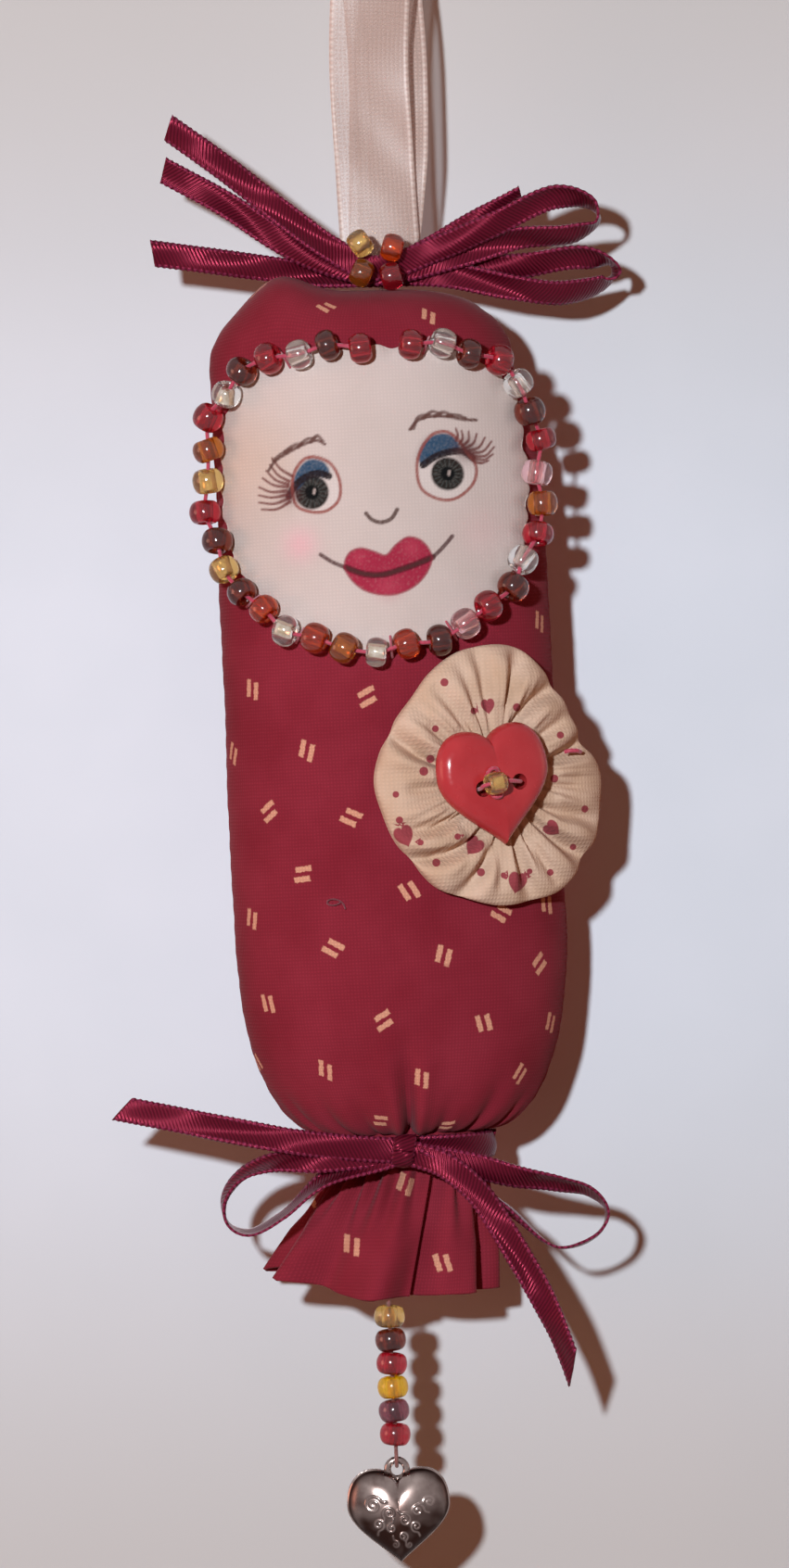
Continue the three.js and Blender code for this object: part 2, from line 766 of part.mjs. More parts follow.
function heartShape(width, height, notch) {
  const [w, h] = [width / 2, height / 2];
  const heart = new THREE.Shape();
  heart.moveTo(0, h - notch);
  heart.bezierCurveTo(0.16 * w, 1.06 * h, w, 1.22 * h, w, 0.24 * h);
  heart.bezierCurveTo(w, -0.24 * h, 0.3 * w, -0.66 * h, 0, -h);
  heart.bezierCurveTo(-0.3 * w, -0.66 * h, -w, -0.24 * h, -w, 0.24 * h);
  heart.bezierCurveTo(-w, 1.22 * h, -0.16 * w, 1.06 * h, 0, h - notch);
  return heart;
}

const buttonSeat = rosettePuff + rosettePleatDepth + gap;
const button = new THREE.Group();
button.position.set(buttonAcross, -buttonSeat, buttonUp);
button.rotation.y = -radians(buttonTurn);
applique.add(button);

// The heart stands in the XZ plane with its back at y = 0.
function heartButton() {
  const inner = heartShape(buttonWidth - 2 * buttonEdge, buttonHeight - 2 * buttonEdge, buttonNotch);
  const body = new THREE.ExtrudeGeometry(inner, {
    depth: buttonThickness - 2 * buttonEdge,
    bevelThickness: buttonEdge,
    bevelSize: buttonEdge,
    bevelSegments: 2,
    curveSegments: heartSteps,
  });
  body.translate(0, 0, buttonEdge);
  body.rotateX(Math.PI / 2);
  const holes = [-1, 1].map((side) => {
    const hole = new THREE.CylinderGeometry(buttonHoleRadius, buttonHoleRadius, 2 * buttonThickness, 10);
    hole.translate((side * buttonHoleSpacing) / 2, -buttonThickness / 2, 0);
    return solidOf(hole);
  });
  return geometryOf(holes.reduce((solid, hole) => solid.subtract(hole), solidOf(body)));
}

add('heart_button', heartButton(), redPlastic, button);
const buttonBeadY = -buttonThickness - gap - buttonBeadRadius;
const buttonBeadCentre = point(buttonBeadAcross, buttonBeadY, buttonBeadUp);
addBead('button_bead', buttonBeadCentre, sideways, 'amber', buttonBeadRadius, buttonBeadLength, button);

// Strand of beads and the charm, hung from the front of the hem
const hemPoint = rufflePoint(1, radians(strandAngle), cotton / 2);
const strandTop = hemPoint.z - gap;
const beadHeight = (i) => strandTop - strandDrop - beadLength / 2 - i * strandPitch;
const eyeRadius = charmLoopWire + 2 * threadRadius + charmRun;
const eyeZ = beadHeight(strandBeads - 1) - beadLength / 2 - gap - threadRadius - eyeRadius;
const strandColours = ['clear', 'brown', 'red', 'yellow', 'plum', 'red'];
for (let i = 0; i < strandBeads; i++) {
  const colour = strandColours[i % strandColours.length];
  const centre = point(hemPoint.x, hemPoint.y, beadHeight(i));
  addBead(`dangle_bead_${i + 1}`, centre, point(0, 0, 1), colour);
}

// The thread ends in an eye that links through the charm's loop.
function dangleThread() {
  const stemLength = strandTop - eyeZ - eyeRadius;
  const stem = new THREE.CylinderGeometry(threadRadius, threadRadius, stemLength, 6);
  stem.rotateX(Math.PI / 2);
  stem.translate(hemPoint.x, hemPoint.y, (strandTop + eyeZ + eyeRadius) / 2);
  const eye = new THREE.TorusGeometry(eyeRadius, threadRadius, 6, 14);
  eye.rotateY(Math.PI / 2);
  eye.translate(hemPoint.x, hemPoint.y, eyeZ);
  return joined([stem, eye]);
}

add('dangle_thread', dangleThread(), pinkThread);

const eyeBottom = eyeZ - eyeRadius;
const charmLoopZ = eyeBottom + threadRadius + charmRun + charmLoopWire - charmLoopRadius;

function heartCharm() {
  const outline = heartShape(charmWidth, charmHeight, charmNotch)
    .getPoints(heartSteps)
    .slice(0, -1);
  const centreZ = charmLoopZ - charmLoopRadius - charmHeight / 2 + charmNotch;
  const ring = (share, face) => outline.map((p) => {
    const height = charmRim + (charmPuff - charmRim) * Math.sqrt(1 - share ** 2);
    return point(hemPoint.x + p.x * share, hemPoint.y + face * height, centreZ + p.y * share);
  });
  const shares = [0.25, 0.5, 0.75, 0.93, 1];
  const face = (side) => shares.map((share) => ring(share, side));
  const heart = loft([...face(-1), ...face(1).reverse()]);
  const loop = new THREE.TorusGeometry(charmLoopRadius, charmLoopWire, 8, 18);
  loop.rotateX(Math.PI / 2);
  loop.translate(hemPoint.x, hemPoint.y, charmLoopZ);
  return joined([heart, loop]);
}

add('heart_charm', heartCharm(), antiqueSilver);

export default doll;
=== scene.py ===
"""A dotee doll on a pale wall: a stuffed cotton body with a drawn face and a bead edge, ribbon bows, a
gathered calico rosette with a heart button, a bead strand with a cast heart charm, and a sheer hanging
ribbon. The doll is modelled in millimetres, in the frame's axes: the face looks along -Y and +Z is up."""
import json
import math

import bmesh
import bpy
import numpy as np
from mathutils import Matrix, Vector, noise


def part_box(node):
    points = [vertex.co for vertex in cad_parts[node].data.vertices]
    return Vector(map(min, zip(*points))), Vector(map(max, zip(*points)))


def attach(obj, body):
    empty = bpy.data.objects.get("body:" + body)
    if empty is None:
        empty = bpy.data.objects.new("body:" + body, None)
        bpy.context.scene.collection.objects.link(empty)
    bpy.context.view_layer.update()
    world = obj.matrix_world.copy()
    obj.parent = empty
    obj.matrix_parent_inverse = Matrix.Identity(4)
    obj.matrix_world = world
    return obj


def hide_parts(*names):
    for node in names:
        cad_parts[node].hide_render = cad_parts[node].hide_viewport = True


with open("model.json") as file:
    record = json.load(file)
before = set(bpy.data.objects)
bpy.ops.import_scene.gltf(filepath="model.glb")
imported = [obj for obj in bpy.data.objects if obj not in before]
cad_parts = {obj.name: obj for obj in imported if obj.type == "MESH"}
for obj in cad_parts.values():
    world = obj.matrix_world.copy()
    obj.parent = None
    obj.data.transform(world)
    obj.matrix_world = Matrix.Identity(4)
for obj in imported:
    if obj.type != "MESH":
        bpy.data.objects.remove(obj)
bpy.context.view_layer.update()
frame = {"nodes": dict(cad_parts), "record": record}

MM = 0.001
GAP = 0.3
NODE_BODY = {node: body for body, nodes in frame["record"]["behaviour"]["bodies"].items() for node in nodes}


def node_box(name):
    """A frame node's lowest and highest corner in millimetres."""
    low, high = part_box(name)
    return np.array(low) / MM, np.array(high) / MM


# Stuffed body, measured from its front panel in the frame
front_low, front_high = node_box("body_front_panel")
BODY_X = (front_low[0] + front_high[0]) / 2
BODY_HALF_DEPTH = -front_low[1]
BELLY_HALF_WIDTH = (front_high[0] - front_low[0]) / 2
SHOULDER_HALF_WIDTH = BELLY_HALF_WIDTH - 0.5
CROWN_Z = front_high[2]
CROWN_HEIGHT = 10.1
CROWN_ROUNDNESS = 2.7
TIE_Z = front_low[2] - GAP / 2
NECK_Z = TIE_Z + 2
NECK_HALF_WIDTH = 9.4
NECK_HALF_DEPTH = 5.5
BASE_HEIGHT = 25
BASE_ROUNDNESS = 2.2
SHOULDER_Z = CROWN_Z - CROWN_HEIGHT
BELLY_Z = NECK_Z + BASE_HEIGHT
# The crown as it was stuffed: its right shoulder slopes, and its left one stands up under the ribbons
RIGHT_SLOPE = 2.8
LEFT_RISE = 3.6
LEFT_RISE_X = -13.8
LEFT_RISE_REACH = 5
BODY_SIDES = 240
# The cloth looks a little up at the crown and down at the base
CROWN_TILT = 0.12
BASE_TILT = 0.05
# Lumps of the filling: height, size and seed
FILL_LUMPS = [(0.22, 13, 1), (0.1, 5, 2)]
SEAM_DEPTH = 0.4
SEAM_WIDTH = 0.45
PUCKER_HEIGHT = 0.05
PUCKER_REACH = 1.6
PUCKER_PITCH = 2.6
FLAT_TOP = 4
BOUND_SHARE = 0.3
# Beside a fold the cloth rises by a share of the fold's depth
RIDGE_SHARE = 0.45
RIDGE_WIDTH = 1.3

# Face patch
face_low, face_high = node_box("face_patch")
FACE_X = (face_low[0] + face_high[0]) / 2
FACE_Z = (face_low[2] + face_high[2]) / 2
FACE_HALF_WIDTH = (face_high[0] - face_low[0]) / 2
FACE_HALF_HEIGHT = (face_high[2] - face_low[2]) / 2
FACE_PROUD = 0.9
FACE_TOP_ROUNDNESS = 3.6
FACE_BOTTOM_ROUNDNESS = 2
FACE_COLUMNS = 250
FACE_ROWS = 246
FACE_STITCHES = 34
FACE_PUFF = 0.35
EDGE_PULL = 0.012
EDGE_PUCKER = 0.16
EDGE_TUCK = 0.45
HEM_TURN = 0.5
# The patch draws the body in along its edge
GROOVE_DEPTH = 0.3
GROOVE_RING = 1.02
GROOVE_WIDTH = 1.4
FACE_RADIUS = 19

# Ribbons and threads
SATIN_WIDTH = 3.2
SATIN_THICKNESS = 0.3
PICOT = 0.07
PICOT_SPACING = 0.75
RIBBON_STEP = 0.22
ROUTE_STEPS = 14
HANGER_STEPS = 12
# A 10 mm ribbon, half a millimetre wider than its solid
ORGANZA_WIDTH = 10
ORGANZA_THICKNESS = 0.15
THREAD_RADIUS = 0.25
STITCH_RADIUS = 0.17
STITCH_REACH = 4.5
STITCH_FOOT = 1.2
STITCH_OUT = 1.1
HEM_THICKNESS = 0.5

# Glass beads
BEAD_RADIUS = 1.95
BEAD_LENGTH = 2.7
BEAD_BORE = 0.7
BEAD_LIP = 0.35
LINING_REACH = 0.08
CROWN_BEAD_RADIUS = 1.75
CROWN_BEAD_LENGTH = 2.6
BUTTON_BEAD_RADIUS = 1.4
BUTTON_BEAD_LENGTH = 2.4
BUTTON_BEAD_ACROSS = -1.5
BUTTON_BEAD_UP = 0.5

# Thread spacings of the cloths. They are drawn a little coarse, so that they show.
COTTON_THREAD = 0.42
MUSLIN_THREAD = 0.42
CALICO_THREAD = 0.48

# Photograph's view: straight on, rolled a little, with the whole frame at the doll's front
PHOTO_HEIGHT = 1692
PIXELS_PER_MM = 8.6
ROLL = math.radians(2.8)
VIEW_CENTRE = Vector((-1.7, -8, -109.5)) * MM
VIEW_DISTANCE = 0.75
SENSOR = 36


def linked(name, data):
    """A new object in the scene."""
    obj = bpy.data.objects.new(name, data)
    bpy.context.scene.collection.objects.link(obj)
    return obj


def make_camera():
    lens = bpy.data.cameras.new("camera")
    lens.sensor_fit = "VERTICAL"
    lens.sensor_height = SENSOR
    lens.lens = SENSOR * VIEW_DISTANCE / (PHOTO_HEIGHT / PIXELS_PER_MM * MM)
    lens.clip_start = 0.01
    camera = linked("camera", lens)
    camera.matrix_world = (
        Matrix.Translation(VIEW_CENTRE - Vector((0, VIEW_DISTANCE, 0)))
        @ Matrix.Rotation(math.pi / 2, 4, "X")
        @ Matrix.Rotation(-ROLL, 4, "Z")
    )
    bpy.context.scene.camera = camera


make_camera()
bpy.context.scene.view_settings.view_transform = "Standard"


# Numbers


def clamped(values):
    return np.clip(values, 0, 1)


def bell(distance):
    """1 at no distance, and next to nothing past 2."""
    return np.exp(-(distance**2))


def unit(rows):
    """Rows made 1 long."""
    return rows / np.linalg.norm(rows, axis=1)[:, None]


def angle_of(rows):
    return np.arctan2(rows[:, 1], rows[:, 0])


def wrapped(angle):
    return (angle + math.pi) % (2 * math.pi) - math.pi


def full_turn(steps):
    """Angles of a full turn, without its end."""
    return np.linspace(0, 2 * math.pi, steps, endpoint=False)


def on_circle(angle):
    return np.column_stack([np.cos(angle), np.sin(angle)])


def lengths_along(line):
    """How long a line of points is up to each of them."""
    return np.concatenate([[0], np.cumsum(np.linalg.norm(np.diff(line, axis=0), axis=1))])


def rows_at(places, stations, rows):
    """Rows of numbers at places between stations."""
    return np.column_stack([np.interp(places, stations, column) for column in rows.T])


def placed(points, matrix):
    """Points moved by a matrix."""
    matrix = np.array(matrix)
    return np.asarray(points) @ matrix[:3, :3].T + matrix[:3, 3]


def smooth_line(points, steps, closed=False):
    """A smooth line through points, with so many steps between each two: centripetal Catmull-Rom."""
    points = np.asarray(points, float)
    if closed:
        padded = np.concatenate([points[-1:], points, points[:2]])
    else:
        padded = np.concatenate([2 * points[:1] - points[1:2], points, 2 * points[-1:] - points[-2:-1]])
    line = []
    for before, start, end, after in zip(padded, padded[1:], padded[2:], padded[3:]):
        pairs = (before, start), (start, end), (end, after)
        first, middle, last = (max(np.linalg.norm(b - a), 1e-6) ** 0.5 for a, b in pairs)
        step = end - start
        into = (start - before) / first - (end - before) / (first + middle) + step / middle
        out = step / middle - (after - start) / (middle + last) + (after - end) / last
        into, out = into * middle, out * middle
        bend, twist = 3 * step - 2 * into - out, -2 * step + into + out
        line += [start + into * t + bend * t**2 + twist * t**3 for t in np.arange(steps) / steps]
    if not closed:
        line.append(points[-1])
    return np.array(line)


def ripple(points, size, seed):
    """Smooth noise from -1 to 1 at each point, with lumps of a size."""
    shift = Vector((seed * 7.3, seed * 3.1, seed * 5.7))
    return np.array([noise.noise(Vector(p) / size + shift) for p in points])


# Meshes and pieces


def settled(bm, mesh):
    bm.to_mesh(mesh)
    bm.free()
    mesh.shade_smooth()
    return mesh


def mesh_of(bm, name):
    return settled(bm, bpy.data.meshes.new(name))


def worked(mesh, work):
    """The mesh after work on it as a bmesh."""
    bm = bmesh.new()
    bm.from_mesh(mesh)
    work(bm)
    return settled(bm, mesh)


def joined(name, meshes):
    bm = bmesh.new()
    for mesh in meshes:
        bm.from_mesh(mesh)
    return mesh_of(bm, name)


def grid_mesh(name, columns, rows):
    """A flat grid from -1 to 1 both ways."""
    bm = bmesh.new()
    bmesh.ops.create_grid(bm, x_segments=columns, y_segments=rows, size=1)
    return mesh_of(bm, name)


def points_of(mesh):
    values = np.empty(len(mesh.vertices) * 3, np.float32)
    mesh.vertices.foreach_get("co", values)
    return values.reshape(-1, 3).astype(float)


def set_points(mesh, points):
    mesh.vertices.foreach_set("co", np.asarray(points, np.float32).ravel())
    mesh.update()


def store(mesh, name, values):
    """A colour attribute of four numbers for each point."""
    attribute = mesh.attributes.new(name, "FLOAT_COLOR", "POINT")
    attribute.data.foreach_set("color", np.asarray(values, np.float32).ravel())


def lay_uv(mesh, places, round_trip=0.0):
    """A UV map in millimetres. A face that spans the join of a closed ring is unrolled past it."""
    corners = np.empty(len(mesh.loops), np.int32)
    mesh.loops.foreach_get("vertex_index", corners)
    starts = np.empty(len(mesh.polygons), np.int32)
    mesh.polygons.foreach_get("loop_start", starts)
    uv = places[corners].copy()
    if round_trip:
        highest = np.maximum.reduceat(uv[:, 0], starts)
        counts = np.diff(np.append(starts, len(corners)))
        behind = np.repeat(highest, counts) - uv[:, 0] > round_trip / 2
        uv[behind, 0] += round_trip
    mesh.uv_layers.new(name="cloth").data.foreach_set("uv", uv.astype(np.float32).ravel())


def spun(rows, steps, closed=False):
    """A surface spun about Z from rows of radius and height."""
    bm = bmesh.new()
    verts = [bm.verts.new((radius, 0, height)) for radius, height in rows]
    pairs = list(zip(verts, verts[1:]))
    if closed:
        pairs.append((verts[-1], verts[0]))
    edges = [bm.edges.new(pair) for pair in pairs]
    bmesh.ops.spin(
        bm, geom=verts + edges, cent=(0, 0, 0), axis=(0, 0, 1), angle=2 * math.pi, steps=steps, use_merge=True
    )
    return bm


def cleaned(bm):
    """Merges doubles, closes a hole at an end, and points the faces out."""
    bmesh.ops.remove_doubles(bm, verts=bm.verts, dist=1e-4)
    bmesh.ops.holes_fill(bm, edges=[edge for edge in bm.edges if edge.is_boundary])
    bmesh.ops.recalc_face_normals(bm, faces=bm.faces)
    return bm


def reshaped(mesh, points):
    """The mesh with its points moved, then its poles merged and its open end filled."""
    set_points(mesh, points)
    return worked(mesh, cleaned)


def piece(name, mesh, finish, *nodes, body=None, slot=None):
    """A finished piece: in metres, riding on its body, standing for frame nodes."""
    mesh.transform(Matrix.Scale(MM, 4))
    obj = linked(name, mesh)
    for material in finish if isinstance(finish, list) else [finish]:
        mesh.materials.append(material)
    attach(obj, body or NODE_BODY[nodes[0]])
    if nodes:
        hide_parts(*nodes)
    return obj


def thickened(obj, thickness, offset=0):
    wall = obj.modifiers.new("cloth", "SOLIDIFY")
    wall.thickness = thickness * MM
    wall.offset = offset
    return obj


def evaluated(*makers):
    """The first maker's mesh, with its modifiers. The makers are then removed."""
    made = makers[0].evaluated_get(bpy.context.evaluated_depsgraph_get())
    mesh = bpy.data.meshes.new_from_object(made)
    for maker in makers:
        bpy.data.objects.remove(maker)
    mesh.materials.clear()
    return mesh


def tubes(name, lines, radius, closed=False):
    """Round threads along lines of points, as one mesh."""
    curve = bpy.data.curves.new(name, "CURVE")
    curve.dimensions = "3D"
    curve.bevel_depth = radius
    curve.bevel_resolution = 3
    curve.use_fill_caps = True
    for line in lines:
        spline = curve.splines.new("POLY")
        spline.points.add(len(line) - 1)
        places = np.column_stack([line, np.ones(len(line))])
        spline.points.foreach_set("co", places.astype(np.float32).ravel())
        spline.use_cyclic_u = closed
    mesh = evaluated(linked(name, curve))
    bpy.data.curves.remove(curve)
    mesh.shade_smooth()
    return mesh


# Materials


def linear(hex_colour):
    """An sRGB hex value as linear red, green, blue and alpha."""
    channels = [int(hex_colour[i:i + 2], 16) / 255 for i in (1, 3, 5)]
    return [c / 12.92 if c <= 0.04045 else ((c + 0.055) / 1.055) ** 2.4 for c in channels] + [1.0]


def add_node(tree, kind, inputs=(), **settings):
    made = tree.nodes.new(kind)
    for name, value in settings.items():
        setattr(made, name, value)
    for name, value in dict(inputs).items():
        if isinstance(value, bpy.types.NodeSocket):
            tree.links.new(value, made.inputs[name])
        else:
            made.inputs[name].default_value = value
    return made


def new_material(name, colour, **sockets):
    """A material with its tree and its shader. Sockets are named with underscores."""
    material = bpy.data.materials.new(name)
    material.use_nodes = True
    shader = material.node_tree.nodes["Principled BSDF"]
    shader.inputs["Base Color"].default_value = linear(colour)
    for socket, value in sockets.items():
        shader.inputs[socket.replace("_", " ")].default_value = value
    return material, material.node_tree, shader


def wire(tree, shader, **sockets):
    """Links outputs to the shader's sockets, which are named with underscores."""
    for socket, output in sockets.items():
        tree.links.new(output, shader.inputs[socket.replace("_", " ")])


def maths(tree, operation, *values, **settings):
    """One step of arithmetic on outputs and numbers."""
    inputs = dict(enumerate(values))
    return add_node(tree, "ShaderNodeMath", inputs, operation=operation, **settings).outputs[0]


def mixed(tree, share, first, second, **settings):
    """Two colours mixed by a share. Each is an output or a hex value."""
    first, second = (linear(colour) if isinstance(colour, str) else colour for colour in (first, second))
    inputs = {0: share, 6: first, 7: second}
    return add_node(tree, "ShaderNodeMix", inputs, data_type="RGBA", **settings).outputs[2]


def ranged(tree, value, low, high, to_low=0.0, to_high=1.0, **settings):
    """A value moved from one range to another."""
    inputs = {"Value": value, "From Min": low, "From Max": high, "To Min": to_low, "To Max": to_high}
    return add_node(tree, "ShaderNodeMapRange", inputs, **settings).outputs["Result"]


def faded(tree, value, edge, soft):
    """1 below an edge and 0 above it, with a soft step between."""
    return ranged(tree, value, edge - soft, edge + soft, 1.0, 0.0, interpolation_type="SMOOTHSTEP")


def cloth_place(tree):
    return add_node(tree, "ShaderNodeUVMap", uv_map="cloth").outputs["UV"]


def lumps(tree, size, detail):
    """Noise with lumps of a size in millimetres."""
    place = add_node(tree, "ShaderNodeTexCoord").outputs["Object"]
    inputs = {"Vector": place, "Scale": 1 / (size * MM), "Detail": detail}
    return add_node(tree, "ShaderNodeTexNoise", inputs).outputs["Fac"]


def wave(tree, place, spacing, direction, distortion=0.0, detail_scale=1.0):
    """Threads at a spacing: 1 on each thread and 0 between."""
    inputs = {"Vector": place, "Scale": math.pi / (10 * spacing)}
    inputs |= {"Distortion": distortion, "Detail Scale": detail_scale}
    return add_node(tree, "ShaderNodeTexWave", inputs, bands_direction=direction).outputs["Fac"]


def weave(tree, spacing):
    """Height of a plain weave on the cloth's UV map: threads across and along, a little uneven."""
    place = cloth_place(tree)
    return maths(tree, "MULTIPLY", *(wave(tree, place, spacing, way, 1.6, 0.8) for way in "XY"))


def relief(tree, shader, height, strength, depth):
    """Bumps of a depth in millimetres."""
    inputs = {"Height": height, "Strength": strength, "Distance": depth * MM}
    wire(tree, shader, Normal=add_node(tree, "ShaderNodeBump", inputs).outputs["Normal"])


def cloth_surface(tree, shader, colour, threads, depth, contrast):
    """Colour darkened between the threads and lightened on them, as painted shade of the weave, and their
    relief.
    """
    shade = ranged(tree, threads, 0.0, 1.0, 1 - contrast, 1 + contrast / 2)
    wire(tree, shader, Base_Color=mixed(tree, 1.0, colour, shade, blend_type="MULTIPLY"))
    relief(tree, shader, threads, 0.5, depth)


def blotched(tree, first, second, size):
    """Two colours mixed in soft blotches of a size in millimetres."""
    return mixed(tree, ranged(tree, lumps(tree, size, 3.0), 0.3, 0.7), first, second)


def inked(tree, printed, mark, strength, ground, ink):
    """The ground colour under printed marks, where the cloth's attribute says that one is near."""
    near = maths(tree, "MULTIPLY", mark, printed.outputs["Alpha"])
    return mixed(tree, maths(tree, "MULTIPLY", near, strength), ground, ink)


# Printed dashes, in millimetres
DASH_LENGTH = 2.2
DASH_WIDTH = 0.7
DASH_APART = 1.25
DASH_STAGGER = 0.18
DASH_WOBBLE = 0.36
MOTIF_REACH = 1.9
MATT = {"Sheen_Weight": 0.05, "Specular_IOR_Level": 0.1}


def printed_cotton():
    """Quilting cotton, plain woven and screen printed: wine red with soft pairs of peach dashes."""
    material, tree, shader = new_material("printed_quilting_cotton", "#7E1E2E", Roughness=0.92, **MATT)
    printed = add_node(tree, "ShaderNodeAttribute", attribute_name="dashes")
    wobble = add_node(tree, "ShaderNodeTexNoise", {"Vector": cloth_place(tree), "Scale": 2.2})
    inputs = {0: wobble.outputs["Color"], 1: (DASH_WOBBLE, DASH_WOBBLE, 0), 2: printed.outputs["Vector"]}
    moved = add_node(tree, "ShaderNodeVectorMath", inputs, operation="MULTIPLY_ADD").outputs[0]
    place = add_node(tree, "ShaderNodeSeparateXYZ", {0: moved})
    across = maths(tree, "SUBTRACT", place.outputs["X"], DASH_WOBBLE / 2)
    off_middle = maths(tree, "SUBTRACT", maths(tree, "ABSOLUTE", across), DASH_APART / 2)
    in_width = faded(tree, maths(tree, "ABSOLUTE", off_middle), DASH_WIDTH / 2, 0.08)
    stagger = maths(tree, "MULTIPLY_ADD", maths(tree, "SIGN", across), DASH_STAGGER, place.outputs["Y"])
    centred = maths(tree, "SUBTRACT", stagger, DASH_WOBBLE / 2)
    in_length = faded(tree, maths(tree, "ABSOLUTE", centred), DASH_LENGTH / 2, 0.1)
    dash = maths(tree, "MULTIPLY", in_width, in_length)
    colour = inked(tree, printed, dash, 0.86, blotched(tree, "#7D1F2D", "#8B2938", 9), "#DDA184")
    cloth_surface(tree, shader, colour, weave(tree, COTTON_THREAD), 0.08, 0.16)
    return material


def drawn_muslin():
    """Unbleached muslin with a pencil and marker drawing, which tints the threads."""
    material, tree, shader = new_material("drawn_muslin", "#CCBDB6", Roughness=0.95, **MATT)
    drawing = add_node(tree, "ShaderNodeAttribute", attribute_name="drawing").outputs["Color"]
    colour = mixed(tree, 1.0, blotched(tree, "#C5B6AF", "#CEBFB9", 11), drawing, blend_type="MULTIPLY")
    cloth_surface(tree, shader, colour, weave(tree, MUSLIN_THREAD), 0.05, 0.06)
    return material


def heart_calico():
    """Tan calico, printed with small burgundy hearts, bars and dots."""
    material, tree, shader = new_material("heart_calico", "#CBAC94", Roughness=0.93, **MATT)
    printed = add_node(tree, "ShaderNodeAttribute", attribute_name="hearts")
    place = add_node(tree, "ShaderNodeSeparateXYZ", {0: printed.outputs["Vector"]}).outputs
    lobe = maths(tree, "POWER", maths(tree, "ABSOLUTE", place["X"]), 0.5)
    cleft = maths(tree, "MULTIPLY_ADD", lobe, -0.62, place["Y"])
    is_heart = maths(tree, "GREATER_THAN", place["Z"], 0.5)
    height = add_node(tree, "ShaderNodeMix", {0: is_heart, 2: place["Y"], 3: cleft}, data_type="FLOAT")
    seen = add_node(tree, "ShaderNodeCombineXYZ", {"X": place["X"], "Y": height.outputs[0]}).outputs[0]
    reach = add_node(tree, "ShaderNodeVectorMath", {0: seen}, operation="LENGTH").outputs["Value"]
    spot = faded(tree, reach, 1, 0.08)
    colour = inked(tree, printed, spot, 0.9, blotched(tree, "#C4A48A", "#D1B49E", 5), "#8C2038")
    cloth_surface(tree, shader, colour, weave(tree, CALICO_THREAD), 0.1, 0.06)
    return material


def off_middle_of(tree, place):
    """Distance from the middle of a ribbon."""
    return maths(tree, "ABSOLUTE", add_node(tree, "ShaderNodeSeparateXYZ", {0: place}).outputs["Y"])


def satin_ribbon():
    """Narrow polyester satin: long floats give a pink gloss along the ribbon, and the selvage is stitched."""
    material, tree, shader = new_material(
        "satin_ribbon", "#5A1228", Roughness=0.3, Anisotropic=0.6, Sheen_Weight=0.05, Sheen_Roughness=0.3,
        Sheen_Tint=linear("#FF7FAE"), Specular_Tint=linear("#FF5C7C"), Specular_IOR_Level=0.6,
    )
    place = cloth_place(tree)
    slanted = {"Vector": place, "Rotation": (0, 0, math.radians(32))}
    floats = wave(tree, add_node(tree, "ShaderNodeMapping", slanted).outputs[0], 0.42, "X", 1.4)
    edge = ranged(tree, off_middle_of(tree, place), SATIN_WIDTH / 2 - 0.42, SATIN_WIDTH / 2 - 0.3)
    picots = maths(tree, "MULTIPLY", edge, wave(tree, place, PICOT_SPACING, "X"))
    # Painted shade of the weave: the colour is darker between the diagonal floats than on them.
    body = mixed(tree, floats, "#300610", "#540E20")
    along = add_node(tree, "ShaderNodeTangent", direction_type="UV_MAP", uv_map="cloth").outputs[0]
    colour = mixed(tree, maths(tree, "MULTIPLY", picots, 0.4), body, "#A8426A")
    wire(tree, shader, Base_Color=colour, Tangent=along)
    relief(tree, shader, maths(tree, "ADD", floats, picots), 0.55, 0.08)
    return material


def sheer_organza():
    """Sheer organza: fine open threads that let the wall through, with closer threads at the selvage."""
    material, tree, shader = new_material(
        "sheer_organza", "#C6AB9F", Roughness=0.4, Sheen_Weight=0.3, Sheen_Roughness=0.4
    )
    place = cloth_place(tree)
    threads = maths(tree, "MULTIPLY", wave(tree, place, 0.55, "Y", 1.0), wave(tree, place, 0.5, "X", 2.0))
    half = ORGANZA_WIDTH / 2
    edge = ranged(tree, off_middle_of(tree, place), half - 0.7, half - 0.5, 0.0, 0.4)
    cover = maths(tree, "ADD", ranged(tree, threads, 0.0, 1.0, 0.34, 0.56), edge, use_clamp=True)
    selvage = maths(tree, "MULTIPLY", edge, wave(tree, place, 0.9, "X", 3.0))
    pale = maths(tree, "MULTIPLY", selvage, 0.8, use_clamp=True)
    wire(tree, shader, Alpha=cover, Base_Color=mixed(tree, pale, "#C6AB9F", "#F2EAE4"))
    relief(tree, shader, threads, 0.3, 0.05)
    return material


def glass(name, colour, clear):
    """Pressed glass: glossy, and clear enough to lighten where the light gathers in it."""
    material, tree, shader = new_material(
        f"glass_{name}", colour, Roughness=0.13, IOR=1.5, Transmission_Weight=clear, Specular_IOR_Level=0.5
    )
    relief(tree, shader, lumps(tree, 0.9, 1.0), 0.06, 0.1)
    return material


def silver_lining():
    """Silvering inside the bore of lined beads: a bright, slightly worn mirror."""
    material, tree, shader = new_material("silver_lining", "#F2EADC", Roughness=0.22, Metallic=1.0)
    wire(tree, shader, Base_Color=blotched(tree, "#F4EDE2", "#CDB894", 0.8))
    return material


def button_resin():
    """Cast polyester resin: a deep glossy red with a few fine scuffs."""
    material, tree, shader = new_material(
        "button_resin", "#B22C32", Roughness=0.2, Coat_Weight=0.1, Coat_Roughness=0.08,
        Specular_IOR_Level=0.25,
    )
    scuffs = ranged(tree, lumps(tree, 0.7, 4.0), 0.4, 0.8, 0.16, 0.34)
    wire(tree, shader, Base_Color=blotched(tree, "#A8282D", "#B43337", 4), Roughness=scuffs)
    return material


